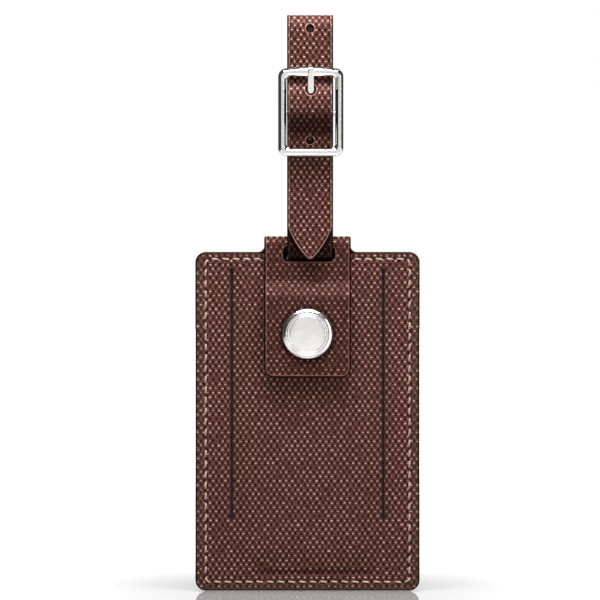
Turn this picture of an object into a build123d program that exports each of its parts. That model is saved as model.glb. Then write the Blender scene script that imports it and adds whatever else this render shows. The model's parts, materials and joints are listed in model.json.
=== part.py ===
"""Leather luggage tag on a buckled strap.

Millimetres.  +X to the right, +Y to the rear, +Z up.  The origin is the middle of the tag's
bottom edge.  The tag is a stack of layers across Y.  Its back panel rises as a neck, folds
over and comes down the front as a snap flap.  The strap runs through slots under that fold,
so the middle of the fold is the axis on which the tag swings.
"""

import os
from math import cos, radians, sin, tan

from build123d import *

# Tag outline
tag_width = 70.0
tag_height = 105.8
tag_corner = 3.3

# Layers of the tag, as places on Y, from front to back
front_face = -1.7
front_back = -0.7
lining_back = -0.4
board_back = 1.7
back_face = 2.9
spacer_back = 3.4
window_back = 3.65
pocket_back = 4.65
snug = 0.02

# Slits in the front panel
slit_offset = 23.6
slit_width = 0.45
slit_bottom = 23.0
slit_top = 100.0
slit_stop_radius = 0.5

# Perimeter seam, sunk in a groove: thread line from the side, bottom and top edges
seam_side = 3.2
seam_low = 2.8
seam_high = 2.2
seam_corner = 1.4
groove_width = 0.6
groove_depth = 0.3
thread_width = 0.5
thread_height = 0.25

# Neck, fold and the axis of the tag on the strap
leather = 1.2
neck_width = 27.0
neck_fillet = 2.0
pivot_z = 107.8
fold_outer = 2.9
fold_middle = fold_outer - leather / 2

# Slot for the strap, through both legs of the fold and the top of the tag
slot_width = 15.5
slot_shift = 0.45
slot_bottom = 103.2
slot_top = pivot_z - 0.6
slot_corner = 1.3
rear_slot_gap = 0.03
rear_slot_bottom = 103.6
rear_slot_corner = 0.1

# Snap flap
hinge_z = 98.0
hinge_y = -fold_middle - snug
hinge_gap = 0.7
hinge_bend_z = 96.6
flap_back = -3.7
flap_front = flap_back - leather
flap_straight_z = 91.8
flap_bottom = 66.7
flap_corner = 3.0
facing_thickness = 0.3
facing_top = 90.5
facing_inset = 1.0

# Snap fastener
snap_z = 80.3
cap_radius = 7.9
cap_height = 1.6
cap_face_radius = 3.5
cap_crown = 0.03
cap_slope_radius = 6.2
cap_slope = 0.14
cap_shoulder_radius = 7.1
cap_shoulder = 0.4
cap_rim = 0.55
cap_wall = 0.5
cap_floor = 0.6
cap_floor_radius = 6.0
cap_inner_radius = 6.9
shank_radius = 1.6
shank_hole = 1.7
socket_radius = 5.4
socket_wall_radius = 4.3
socket_hole = 2.35
socket_plate = 0.3
socket_front = -2.2
spring_radius = 2.65
spring_wire = 0.12
spring_y = -2.625
spring_room = 0.175
stud_base_radius = 4.6
stud_base = 0.4
stud_neck = 1.75
stud_neck_end = -2.55
stud_head = 2.05
stud_head_start = -2.7
stud_head_end = -2.85
stud_head_round = 0.25
stud_tip = -3.0
rivet_radius = 1.2
rivet_flange_radius = 5.0

# Rear card pocket
pocket_width = 59.0
pocket_bottom = 5.0
pocket_top = 100.6
pocket_corner = 2.5
pocket_seam = 1.1
card_width = 54.0
card_height = 86.0
card_thickness = 0.35
card_corner = 2.0
card_clearance = 0.25
window_width = 44.0
window_height = 74.0
window_corner = 3.0
grip_radius = 5.5

# Strap: outer leather and inner lining
strap_width = 14.3
strap_shift = 0.8
strap_outer = 0.85
strap_inner = 0.45
strap_thickness = strap_outer + strap_inner
layer_gap = 0.1
ring_radius = 3.5
strap_top = 179.7
top_bend = 4.0
front_top_y = -4.75
rear_top_y = 4.45
loop_depth = 15.0
loop_middle = 144.0
return_length = 4.2
return_bend = 2.5
leg_bend = 5.0
rear_bend_rise = 2.7
rear_bend = 12.0
loop_bend = 30.0
front_bend_z = 160.6
front_bend = 3.0
hump_bend_z = 154.6
hump_bend = 5.0
free_bend = 4.0
tip_shoulder = 113.0
tip_apex = 102.4
tip_bulge = 0.7
tip_round = 1.8
hole_radius = 0.85
low_hole_z = 140.6
high_hole_z = 175.0
strap_seam_offset = 5.2

# Buckle
bar_y = -5.4
bar_z = 148.8
bar_radius = 0.8
bar_fit = 0.02
bar_grip = 1.4
buckle_shift = 1.0
buckle_width = 20.2
buckle_bottom = 135.4
buckle_top = 162.3
top_bow = 0.8
buckle_back = -6.3
buckle_front = -8.5
side_bar = 2.55
bottom_bar = 2.6
top_bar = 2.6
buckle_corner = 2.2
window_corner_radius = 1.2
front_bevel = 0.7
back_bevel = 0.3
lug_height = 4.4
lug_back = -4.1
lug_round = 0.9

# Prong
prong_ring_inner = 0.85
prong_ring_outer = 1.75
prong_width = 2.2
prong_thickness = 1.4
prong_round = 0.5
prong_lean = 18.0
prong_length = 14.6
prong_slot_width = 3.2
prong_slot_bottom = 146.3
prong_play = 0.3
prong_lift_room = 0.4
prong_hole_start = 4.0


def facing(y):
    """Sketch plane across the tag at depth y: local x is X, local y is Z, up is forward."""
    return Plane.XZ.offset(-y)


def save(piece, label):
    """Name a finished piece and write it out."""
    piece.part.label = label
    export_step(piece.part, f"parts/{label}.step")


os.makedirs("parts", exist_ok=True)

# Bent strips ------------------------------------------------------------------------------
# A course is a line in the YZ plane, given as corner points with bend radii.


def offset_course(corners, shift):
    """Corners and bend radii of a course moved sideways, to its right when shift is positive."""
    points = [Vector(y, z) for y, z, _ in corners]
    headings = [(b - a).normalized() for a, b in zip(points, points[1:])]
    moved = []
    for index, (_, _, radius) in enumerate(corners):
        before = headings[max(index - 1, 0)]
        after = headings[min(index, len(headings) - 1)]
        right_before = Vector(before.Y, -before.X)
        right_after = Vector(after.Y, -after.X)
        push = (right_before + right_after) * (shift / (1 + right_before.dot(right_after)))
        left_turn = before.cross(after).Z > 0
        moved.append((points[index] + push, radius + shift if left_turn else radius - shift))
    return moved


def draw_course(corners, shift):
    """Draw one side of a strip, and return its two ends."""
    moved = offset_course(corners, shift)
    here = moved[0][0]
    for (previous, _), (corner, bend), (following, _) in zip(moved, moved[1:], moved[2:]):
        before = (corner - previous).normalized()
        after = (following - corner).normalized()
        reach = bend * tan(radians(before.get_angle(after)) / 2)
        start = corner - before * reach
        if (start - here).length > 1e-4:
            Line(here, start)
        here = corner + after * reach
        TangentArc(start, here, tangent=before)
    Line(here, moved[-1][0])
    return moved[0][0], moved[-1][0]


def strip_profile(corners, near, far):
    """Face of a bent strip between two sideways offsets from its course."""
    with BuildLine() as outline:
        near_start, near_end = draw_course(corners, near)
        far_start, far_end = draw_course(corners, far)
        Line(near_start, far_start)
        Line(near_end, far_end)
    make_face(outline.edges())


# The strap's course runs along the line where leather meets lining.  It starts at the
# stitched end behind the buckle bar, wraps the bar, goes down through the slots in the tag,
# up the rear, over the top and down through the buckle to the tip.
slant = radians(18.0)
wrap_radius = bar_radius + layer_gap + strap_inner
hump_radius = wrap_radius + strap_thickness + layer_gap
leg_y = -ring_radius
free_y = leg_y - strap_thickness - layer_gap
wrap_top = bar_z + wrap_radius
wrap_touch_y = bar_y - wrap_radius * cos(slant)
wrap_touch_z = bar_z - wrap_radius * sin(slant)
wrap_front_y = wrap_touch_y - (wrap_top - wrap_touch_z) * tan(slant)
leg_bend_z = wrap_touch_z - (leg_y - wrap_touch_y) / tan(slant)
return_y = bar_y + wrap_radius
return_gap = (2 * strap_inner + layer_gap) / cos(slant)
return_bend_z = wrap_touch_z - (return_y - wrap_touch_y - return_gap) / tan(slant)
return_end_y = return_y + return_length * tan(slant)
top_line = strap_top - strap_outer
hump_y = bar_y - hump_radius
hump_touch_y = bar_y - hump_radius * cos(slant)
hump_touch_z = bar_z - hump_radius * sin(slant)
free_bend_z = hump_touch_z - (free_y - hump_touch_y) / tan(slant)

strap_course = [
    (return_end_y, return_bend_z - return_length, 0),
    (return_y, return_bend_z, return_bend),
    (return_y, wrap_top, wrap_radius),
    (wrap_front_y, wrap_top, wrap_radius),
    (leg_y, leg_bend_z, leg_bend),
    (leg_y, pivot_z - ring_radius, ring_radius),
    (ring_radius, pivot_z - ring_radius, ring_radius),
    (ring_radius, pivot_z + rear_bend_rise, rear_bend),
    (loop_depth, loop_middle, loop_bend),
    (rear_top_y, top_line, top_bend),
    (front_top_y, top_line, top_bend),
    (front_top_y, front_bend_z, front_bend),
    (hump_y, hump_bend_z, hump_bend),
    (hump_y, bar_z - hump_radius * tan(slant / 2), hump_radius),
    (free_y, free_bend_z, free_bend),
    (free_y, tip_apex, 0),
]

# The fold's course goes up the neck, over the pivot and down to the hinge line
fold_course = [
    (fold_middle, tag_height, 0),
    (fold_middle, pivot_z + fold_middle, fold_middle),
    (-fold_middle, pivot_z + fold_middle, fold_middle),
    (-fold_middle, hinge_z + hinge_gap, 0),
]

# The flap's course starts on the hinge line and steps away from the front panel
flap_middle = flap_back - leather / 2
flap_course = [
    (hinge_y, hinge_z, 0),
    (hinge_y, hinge_bend_z, 3.0),
    (flap_middle, flap_straight_z, 4.0),
    (flap_middle, flap_bottom, 0),
]

# Shared sketch shapes ---------------------------------------------------------------------


def tag_outline():
    """Rounded outline of the tag."""
    with Locations((0, tag_height / 2)):
        RectangleRounded(tag_width, tag_height, tag_corner)


def strap_notch(mode=Mode.ADD):
    """Opening in the top edge, where the strap passes."""
    with Locations((slot_shift, slot_bottom)):
        Rectangle(slot_width, tag_height, align=(Align.CENTER, Align.MIN), mode=mode)


def seam_loop(width, height, middle_z, corner, line_width):
    """Closed seam line with its middle on a rounded rectangle."""
    grow = line_width / 2
    with Locations((0, middle_z)):
        RectangleRounded(width + line_width, height + line_width, corner + grow)
        RectangleRounded(
            width - line_width, height - line_width, corner - grow, mode=Mode.SUBTRACT
        )


def perimeter_seam(line_width):
    """Seam round the tag, open where the strap passes."""
    seam_height = tag_height - seam_low - seam_high
    middle_z = seam_low + seam_height / 2
    seam_loop(tag_width - 2 * seam_side, seam_height, middle_z, seam_corner, line_width)
    strap_notch(Mode.SUBTRACT)


pocket_height = pocket_top - pocket_bottom
pocket_z = pocket_bottom + pocket_height / 2
cavity_height = card_height + 2 * card_clearance
cavity_left = -card_width / 2 - card_clearance


def pocket_outline():
    """Rounded outline of the rear pocket."""
    with Locations((0, pocket_z)):
        RectangleRounded(pocket_width, pocket_height, pocket_corner)


def card_cavity(mode):
    """Room for the card, open at the pocket's right side."""
    with Locations((cavity_left, pocket_z)):
        Rectangle(pocket_width, cavity_height, align=(Align.MIN, Align.CENTER), mode=mode)


def finger_grip(mode):
    """Half-round grip at the pocket's open side."""
    with Locations((pocket_width / 2, pocket_z)):
        Circle(grip_radius, mode=mode)


def pocket_seam_line(line_width):
    """Seam round the pocket, without its open side."""
    seam_height = pocket_height - 2 * pocket_seam
    seam_width = pocket_width - 2 * pocket_seam
    seam_loop(seam_width, seam_height, pocket_z, seam_corner, line_width)
    card_cavity(Mode.SUBTRACT)


def snap_circle(radius, mode=Mode.ADD):
    """Circle round the snap's axis."""
    with Locations((0, snap_z)):
        Circle(radius, mode=mode)


snap_axis = Axis((0, 0, snap_z), (0, 1, 0))


def turned(points):
    """Solid turned about the snap's axis from (depth, radius) points."""
    with BuildSketch(Plane.YZ) as half_section:
        with BuildLine() as outline:
            Polyline([(y, snap_z + radius) for y, radius in points], close=True)
        make_face(outline.edges())
    revolve(half_section.sketch, axis=snap_axis)


# Tag --------------------------------------------------------------------------------------

with BuildPart() as front_panel:
    with BuildSketch(facing(front_back)):
        tag_outline()
        strap_notch(Mode.SUBTRACT)
        snap_circle(rivet_radius + snug, Mode.SUBTRACT)
        for side in (-1, 1):
            with Locations((side * slit_offset, 0.5 * (slit_bottom + slit_top))):
                Rectangle(slit_width, slit_top - slit_bottom, mode=Mode.SUBTRACT)
            for stop_z in (slit_bottom, slit_top):
                with Locations((side * slit_offset, stop_z)):
                    Circle(slit_stop_radius, mode=Mode.SUBTRACT)
    extrude(amount=front_back - front_face)
    with BuildSketch(facing(front_face)):
        perimeter_seam(groove_width)
    extrude(amount=-groove_depth, mode=Mode.SUBTRACT)
save(front_panel, "front_panel")

with BuildPart() as front_lining:
    with BuildSketch(facing(lining_back)):
        tag_outline()
        strap_notch(Mode.SUBTRACT)
        snap_circle(rivet_flange_radius + 0.1, Mode.SUBTRACT)
    extrude(amount=lining_back - front_back)
save(front_lining, "front_lining")

with BuildPart() as stiffener_board:
    with BuildSketch(facing(board_back)):
        tag_outline()
        strap_notch(Mode.SUBTRACT)
    extrude(amount=board_back - lining_back)
save(stiffener_board, "stiffener_board")

with BuildPart() as back_panel:
    with BuildSketch(facing(back_face)) as back_outline:
        tag_outline()
        with Locations((0, pivot_z)):
            Rectangle(neck_width, tag_corner + neck_fillet, align=(Align.CENTER, Align.MAX))
        neck_roots = back_outline.vertices().filter_by_position(
            Axis.Y, tag_height - 0.01, tag_height + 0.01
        )
        fillet(neck_roots.sort_by(lambda v: abs(v.X))[:2], neck_fillet - snug)
    extrude(amount=leather)
    with BuildSketch(Plane.YZ):
        strip_profile(fold_course, -leather / 2, leather / 2)
    extrude(amount=neck_width / 2, both=True)
    with BuildSketch(facing(0)):
        with Locations((slot_shift, 0.5 * (slot_bottom + slot_top))):
            RectangleRounded(slot_width, slot_top - slot_bottom, slot_corner)
    extrude(amount=fold_outer, mode=Mode.SUBTRACT)
    with BuildSketch(facing(back_face)):
        with Locations((strap_shift, 0.5 * (rear_slot_bottom + slot_top))):
            RectangleRounded(
                strap_width + 2 * rear_slot_gap, slot_top - rear_slot_bottom, rear_slot_corner
            )
    extrude(amount=leather, mode=Mode.SUBTRACT)
    with BuildSketch(facing(back_face)):
        perimeter_seam(groove_width)
    extrude(amount=groove_depth, mode=Mode.SUBTRACT)
save(back_panel, "back_panel")

with BuildPart() as perimeter_stitching:
    with BuildSketch(facing(front_face + groove_depth)):
        perimeter_seam(thread_width)
    extrude(amount=thread_height)
    with BuildSketch(facing(back_face - groove_depth)):
        perimeter_seam(thread_width)
    extrude(amount=-thread_height)
save(perimeter_stitching, "perimeter_stitching")

with BuildPart() as pocket_spacer:
    with BuildSketch(facing(spacer_back)):
        pocket_outline()
        card_cavity(Mode.SUBTRACT)
    extrude(amount=spacer_back - back_face)
save(pocket_spacer, "pocket_spacer")

with BuildPart() as clear_window:
    with BuildSketch(facing(window_back)):
        pocket_outline()
        finger_grip(Mode.SUBTRACT)
    extrude(amount=window_back - spacer_back)
save(clear_window, "clear_window")

with BuildPart() as pocket_frame:
    with BuildSketch(facing(pocket_back)):
        pocket_outline()
        finger_grip(Mode.SUBTRACT)
        with Locations((0, pocket_z)):
            RectangleRounded(window_width, window_height, window_corner, mode=Mode.SUBTRACT)
    extrude(amount=pocket_back - window_back)
    with BuildSketch(facing(pocket_back)):
        pocket_seam_line(groove_width)
    extrude(amount=groove_depth, mode=Mode.SUBTRACT)
save(pocket_frame, "pocket_frame")

with BuildPart() as pocket_stitching:
    with BuildSketch(facing(pocket_back - groove_depth)):
        pocket_seam_line(thread_width)
    extrude(amount=-thread_height)
save(pocket_stitching, "pocket_stitching")

with BuildPart() as address_card:
    with BuildSketch(facing(back_face + snug + card_thickness)):
        with Locations((0, pocket_z)):
            RectangleRounded(card_width, card_height, card_corner)
    extrude(amount=card_thickness)
save(address_card, "address_card")

# Flap and snap ----------------------------------------------------------------------------

with BuildPart() as snap_flap:
    with BuildSketch(Plane.YZ):
        strip_profile(flap_course, -leather / 2, leather / 2)
        with Locations((hinge_y, hinge_z)):
            Circle(leather / 2)
    extrude(amount=neck_width / 2, both=True)
    bottom_corners = snap_flap.edges().filter_by(Axis.Y).group_by(Axis.Z)[0]
    fillet(bottom_corners, flap_corner)
    with BuildSketch(facing(flap_back)):
        snap_circle(shank_hole)
    extrude(amount=leather, mode=Mode.SUBTRACT)
save(snap_flap, "snap_flap")

facing_back = flap_back + facing_thickness
facing_height = facing_top - flap_bottom - facing_inset
with BuildPart() as flap_lining:
    with BuildSketch(facing(facing_back)):
        with Locations((0, facing_top - facing_height / 2)):
            RectangleRounded(neck_width - 2 * facing_inset, facing_height, 2.0)
        snap_circle(shank_hole, Mode.SUBTRACT)
    extrude(amount=facing_thickness)
save(flap_lining, "flap_lining")

cap_front = flap_front - cap_height
cap_rim_back = flap_front - snug
shank_end = facing_back + socket_plate
with BuildPart() as snap_cap:
    turned(
        [
            (cap_front, 0),
            (cap_front + cap_crown, cap_face_radius),
            (cap_front + cap_slope, cap_slope_radius),
            (cap_front + cap_shoulder, cap_shoulder_radius),
            (flap_front - cap_rim, cap_radius),
            (cap_rim_back, cap_radius),
            (cap_rim_back, cap_radius - cap_wall),
            (cap_front + cap_floor + 0.3, cap_inner_radius),
            (cap_front + cap_floor, cap_floor_radius),
            (cap_front + cap_floor, shank_radius),
            (shank_end, shank_radius),
            (shank_end, 0),
        ]
    )
save(snap_cap, "snap_cap")

spring_track = spring_radius + spring_wire + 0.05
with BuildPart() as snap_socket:
    turned(
        [
            (facing_back, shank_radius + snug),
            (facing_back, socket_radius),
            (facing_back + socket_plate, socket_radius),
            (facing_back + socket_plate, socket_wall_radius),
            (socket_front, socket_wall_radius - 0.2),
            (socket_front, socket_hole),
            (spring_y + spring_room, socket_hole),
            (spring_y + spring_room, spring_track),
            (spring_y - spring_room, spring_track),
            (spring_y - spring_room, socket_hole),
            (facing_back + socket_plate, socket_hole),
            (facing_back + socket_plate, shank_radius + snug),
        ]
    )
save(snap_socket, "snap_socket")

with BuildPart() as socket_spring:
    with BuildSketch(Plane.YZ):
        with Locations((spring_y, snap_z + spring_radius)):
            Circle(spring_wire)
    revolve(axis=snap_axis)
save(socket_spring, "socket_spring")

stud_base_front = front_face - stud_base
with BuildPart() as snap_stud:
    turned(
        [
            (front_face, rivet_radius + snug),
            (front_face, stud_base_radius),
            (stud_base_front + 0.15, stud_base_radius),
            (stud_base_front, stud_base_radius - 0.2),
            (stud_base_front, stud_neck),
            (stud_neck_end, stud_neck),
            (stud_head_start, stud_head),
            (stud_head_end, stud_head),
            (stud_tip, stud_head - stud_head_round),
            (stud_tip, rivet_radius + snug),
        ]
    )
save(snap_stud, "snap_stud")

with BuildPart() as snap_post:
    turned(
        [
            (lining_back - snug, 0),
            (lining_back - snug, rivet_flange_radius),
            (front_back, rivet_flange_radius),
            (front_back, rivet_radius),
            (stud_tip, rivet_radius),
            (stud_tip, 0),
        ]
    )
save(snap_post, "snap_post")

# Strap ------------------------------------------------------------------------------------

strap_plane = Plane.YZ.offset(strap_shift)
shank_direction = Vector(0, -sin(radians(prong_lean)), cos(radians(prong_lean)))


def along_prong(distance):
    """Plane across the prong's shank, at a distance from the bar; local y is to the front."""
    start = Vector(buckle_shift, bar_y, bar_z) + shank_direction * distance
    return Plane(origin=start, x_dir=(-1, 0, 0), z_dir=shank_direction)


half_strap = strap_width / 2
with BuildSketch() as tip_shape:
    with BuildLine():
        Line((-half_strap, tip_shoulder), (half_strap, tip_shoulder))
        SagittaArc((half_strap, tip_shoulder), (0, tip_apex), tip_bulge)
        SagittaArc((0, tip_apex), (-half_strap, tip_shoulder), tip_bulge)
    make_face()
    fillet(tip_shape.vertices().sort_by(Axis.Y)[0], tip_round)

low_hole_y = hump_touch_y + (hump_touch_z - low_hole_z) * tan(slant)
low_hole_plane = Plane(
    origin=(strap_shift, low_hole_y, low_hole_z),
    x_dir=(1, 0, 0),
    z_dir=(0, -cos(slant), -sin(slant)),
)
high_hole_plane = Plane(
    origin=(strap_shift, front_top_y, high_hole_z), x_dir=(1, 0, 0), z_dir=(0, -1, 0)
)
inner_margin = strap_inner + layer_gap / 2
cut_depth = strap_thickness + layer_gap
wrap_back = return_y + strap_outer + layer_gap

# Everything cut from the strap: the waste round its tip, two holes, the hole that the prong
# comes through, and the slot for the prong's ring in the wrapped end
with BuildPart() as strap_openings:
    with BuildSketch(facing(free_y + inner_margin)):
        with Locations((strap_shift, tip_apex - 1)):
            Rectangle(
                strap_width + 2, tip_shoulder - tip_apex + 1, align=(Align.CENTER, Align.MIN)
            )
        with Locations((strap_shift, 0)):
            add(tip_shape.sketch, mode=Mode.SUBTRACT)
    extrude(amount=cut_depth)
    for hole_plane in (low_hole_plane, high_hole_plane):
        with BuildSketch(hole_plane.offset(-inner_margin)):
            Circle(hole_radius)
        extrude(amount=cut_depth)
    with BuildSketch(along_prong(prong_hole_start)):
        with Locations((0, prong_lift_room / 2)):
            RectangleRounded(
                prong_width + 2 * prong_play,
                prong_thickness + 2 * prong_play + prong_lift_room,
                prong_round + prong_play,
            )
    extrude(amount=prong_length - prong_hole_start)
    with BuildSketch(facing(wrap_back)):
        with Locations((buckle_shift, prong_slot_bottom)):
            Rectangle(
                prong_slot_width,
                wrap_top + strap_thickness - prong_slot_bottom,
                align=(Align.CENTER, Align.MIN),
            )
    extrude(amount=wrap_back - hump_y - inner_margin)

with BuildPart() as strap_leather:
    with BuildSketch(strap_plane):
        strip_profile(strap_course, 0, strap_outer)
    extrude(amount=strap_width / 2, both=True)
    add(strap_openings.part, mode=Mode.SUBTRACT)
save(strap_leather, "strap_leather")

with BuildPart() as strap_lining:
    with BuildSketch(strap_plane):
        strip_profile(strap_course, -strap_inner, 0)
    extrude(amount=strap_width / 2, both=True)
    add(strap_openings.part, mode=Mode.SUBTRACT)
save(strap_lining, "strap_lining")

stitch_course = [
    (return_end_y - 0.3 * tan(slant), return_bend_z - return_length + 0.3, 0),
    (return_y + 0.6 * tan(slant), return_bend_z - 0.6, 0),
]
with BuildPart() as strap_stitching:
    for offset_x in (-strap_seam_offset, strap_seam_offset):
        with BuildSketch(strap_plane.offset(offset_x)):
            strip_profile(stitch_course, strap_outer, strap_outer + thread_height)
        extrude(amount=thread_width / 2, both=True)
save(strap_stitching, "strap_stitching")

# Buckle -----------------------------------------------------------------------------------

inner_half = buckle_width / 2 - side_bar
inner_bottom = buckle_bottom + bottom_bar
inner_top = buckle_top - top_bar + 0.4
lug_width = side_bar - 0.3

with BuildPart() as buckle_frame:
    with BuildSketch(facing(buckle_back)) as frame_outline:
        left = buckle_shift - buckle_width / 2
        right = buckle_shift + buckle_width / 2
        with BuildLine():
            Polyline(
                (left, buckle_top),
                (left, buckle_bottom),
                (right, buckle_bottom),
                (right, buckle_top),
            )
            ThreePointArc(
                (left, buckle_top), (buckle_shift, buckle_top + top_bow), (right, buckle_top)
            )
        make_face()
        fillet(frame_outline.vertices(), buckle_corner)
        with Locations((buckle_shift, 0.5 * (inner_bottom + inner_top))):
            RectangleRounded(
                2 * inner_half,
                inner_top - inner_bottom,
                window_corner_radius,
                mode=Mode.SUBTRACT,
            )
    extrude(amount=buckle_back - buckle_front)
    chamfer(buckle_frame.faces().sort_by(Axis.Y)[0].edges(), front_bevel)
    chamfer(buckle_frame.faces().sort_by(Axis.Y)[-1].edges(), back_bevel)
    for side in (-1, 1):
        lug_x = buckle_shift + side * (inner_half + 0.5 * lug_width + snug)
        with BuildSketch(Plane.YZ.offset(lug_x)):
            with Locations((0.5 * (lug_back + buckle_back) - 0.4, bar_z)):
                RectangleRounded(lug_back - buckle_back + 0.8, lug_height, lug_round)
        extrude(amount=0.5 * lug_width, both=True)
        with BuildSketch(Plane.YZ.offset(buckle_shift)):
            with Locations((bar_y, bar_z)):
                Circle(bar_radius + bar_fit)
        extrude(amount=side * (inner_half + bar_grip), mode=Mode.SUBTRACT)
save(buckle_frame, "buckle_frame")

with BuildPart() as buckle_bar:
    with BuildSketch(Plane.YZ.offset(buckle_shift)):
        with Locations((bar_y, bar_z)):
            Circle(bar_radius)
    extrude(amount=inner_half + bar_grip - 2 * bar_fit, both=True)
save(buckle_bar, "buckle_bar")

with BuildPart() as buckle_prong:
    with BuildSketch(Plane.YZ.offset(buckle_shift)):
        with Locations((bar_y, bar_z)):
            Circle(prong_ring_outer)
    extrude(amount=prong_width / 2, both=True)
    with BuildSketch(along_prong(0)):
        RectangleRounded(prong_width, prong_thickness, prong_round)
    extrude(amount=prong_length)
    chamfer(buckle_prong.faces().sort_by(Axis.Z)[-1].edges(), 0.35)
    with BuildSketch(Plane.YZ.offset(buckle_shift)):
        with Locations((bar_y, bar_z)):
            Circle(prong_ring_inner)
    extrude(amount=prong_width, both=True, mode=Mode.SUBTRACT)
save(buckle_prong, "buckle_prong")
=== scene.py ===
"""Looks of the leather luggage tag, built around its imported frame.

Sizes in this script are millimetres, and meshes are written in metres.  Leather pieces are
sheets: a grid of rows along a course in the YZ plane and columns across X, raised by a height
function and cut by a mask.
"""

import json
import math

import bmesh
import bpy
import mathutils
import numpy as np
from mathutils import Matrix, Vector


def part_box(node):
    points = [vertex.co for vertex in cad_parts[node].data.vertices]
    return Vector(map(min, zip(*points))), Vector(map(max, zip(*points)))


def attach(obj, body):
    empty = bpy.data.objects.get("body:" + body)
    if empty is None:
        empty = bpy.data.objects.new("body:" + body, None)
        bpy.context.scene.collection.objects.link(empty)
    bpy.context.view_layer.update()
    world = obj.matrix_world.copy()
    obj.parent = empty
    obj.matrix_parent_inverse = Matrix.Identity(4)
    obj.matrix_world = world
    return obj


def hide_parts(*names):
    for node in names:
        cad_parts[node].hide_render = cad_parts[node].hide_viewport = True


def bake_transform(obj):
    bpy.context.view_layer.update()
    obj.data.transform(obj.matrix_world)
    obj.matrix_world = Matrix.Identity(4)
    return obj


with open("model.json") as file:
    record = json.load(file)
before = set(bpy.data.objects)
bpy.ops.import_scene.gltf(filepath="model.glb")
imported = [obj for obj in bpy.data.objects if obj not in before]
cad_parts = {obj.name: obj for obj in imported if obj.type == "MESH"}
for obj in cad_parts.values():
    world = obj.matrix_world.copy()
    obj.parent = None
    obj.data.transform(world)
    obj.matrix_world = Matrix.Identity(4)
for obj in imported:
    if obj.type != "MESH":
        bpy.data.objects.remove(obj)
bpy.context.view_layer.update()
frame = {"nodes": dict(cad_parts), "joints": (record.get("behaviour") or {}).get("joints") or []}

MM = 0.001
joints = {joint["name"]: joint for joint in frame["joints"]}


def node_box(name):
    """Lowest and highest corner of a CAD node in millimetres."""
    low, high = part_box(name)
    return np.array(low) / MM, np.array(high) / MM


def joint_point(name):
    """Place of a hinge in millimetres."""
    return np.array(joints[name]["pos_m"]) / MM


# Places taken from the frame
panel_low, panel_high = node_box("front_panel")
flap_low, flap_high = node_box("snap_flap")
strap_low, strap_high = node_box("strap_leather")
frame_low, frame_high = node_box("buckle_frame")
cap_low, cap_high = node_box("snap_cap")
pocket_low, pocket_high = node_box("pocket_frame")
pivot = joint_point("tag_swing")
hinge = joint_point("flap_hinge")
bar = joint_point("buckle_rock")

HALF = panel_high[0]
TALL = panel_high[2]
FRONT = panel_low[1]
REAR = node_box("stiffener_board")[1][1] + 1.2
LEATHER = 1.2
CORNER = 3.3

# Embossed weave: staggered raised dashes
PITCH = 1.9
ROW = 1.375
FINE_X = PITCH / 6
FINE_S = ROW / 3
RELIEF = 0.24

# Seams
STITCH_PITCH = 3.3
STITCH_LENGTH = 2.5
STITCH_DIVE = 0.55
THREAD = 0.3

SLIT_X = 23.6
SLIT_HALF = 0.28
SLIT_LOW = 23.0
SLIT_HIGH = 100.0
STOP_RADIUS = 0.5
SEAM_SIDE = 3.2
SEAM_LOW = 2.8
SEAM_HIGH = 2.2
SEAM_CORNER = 1.4
SLOT_X = 0.45
SLOT_HALF = 7.75
SLOT_LOW = pivot[2] - 4.6
SLOT_HIGH = pivot[2] - 0.6
NECK_HALF = flap_high[0]
snap_z = 0.5 * (cap_low[2] + cap_high[2])

random = np.random.default_rng(7)


# Courses ----------------------------------------------------------------------------------


class Course:
    """A line in the YZ plane made of straight runs and arcs, measured along its length."""

    def __init__(self, corners):
        points = [np.array(corner[:2], float) for corner in corners]
        self.parts = []
        here = points[0]
        for index in range(1, len(points) - 1):
            before = unit(points[index] - points[index - 1])
            after = unit(points[index + 1] - points[index])
            turn = math.atan2(before[0] * after[1] - before[1] * after[0], before @ after)
            radius = corners[index][2]
            reach = radius * math.tan(abs(turn) / 2)
            start = points[index] - before * reach
            self.parts.append((here, before, np.linalg.norm(start - here), 0.0))
            self.parts.append((start, before, radius * abs(turn), math.copysign(1 / radius, turn)))
            here = points[index] + after * reach
        last = points[-1] - here
        self.parts.append((here, unit(last), np.linalg.norm(last), 0.0))
        self.ends = np.cumsum([part[2] for part in self.parts])
        self.length = self.ends[-1]

    def at(self, s):
        """Points and right-hand normals, as (n, 2) arrays of Y and Z, at lengths s."""
        s = np.atleast_1d(np.asarray(s, float))
        index = np.clip(np.searchsorted(self.ends, s - 1e-9), 0, len(self.parts) - 1)
        spots, normals = np.zeros((len(s), 2)), np.zeros((len(s), 2))
        for k, (start, heading, length, bend) in enumerate(self.parts):
            mine = index == k
            along = s[mine] - (self.ends[k] - length)
            angle = along * bend
            left = np.array([-heading[1], heading[0]])
            if bend:
                spots[mine] = start + np.outer(np.sin(angle) / bend, heading)
                spots[mine] += np.outer((1 - np.cos(angle)) / bend, left)
            else:
                spots[mine] = start + np.outer(along, heading)
            tangent = np.outer(np.cos(angle), heading) + np.outer(np.sin(angle), left)
            normals[mine] = np.stack([tangent[:, 1], -tangent[:, 0]], 1)
        return spots, normals


def unit(vector):
    return vector / np.linalg.norm(vector)


def upright(y, low, high):
    """Straight course up the tag at depth y."""
    return Course([(y, low, 0), (y, 0.5 * (low + high), 1), (y, high, 0)])


# Shapes of outlines and heights -------------------------------------------------------------


def rounded_box(x, s, centre, half, radius):
    """Signed distance to a rounded rectangle, negative inside."""
    qx = np.abs(x - centre[0]) - half[0] + radius
    qs = np.abs(s - centre[1]) - half[1] + radius
    outside = np.hypot(np.maximum(qx, 0), np.maximum(qs, 0))
    return outside + np.minimum(np.maximum(qx, qs), 0) - radius


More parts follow.
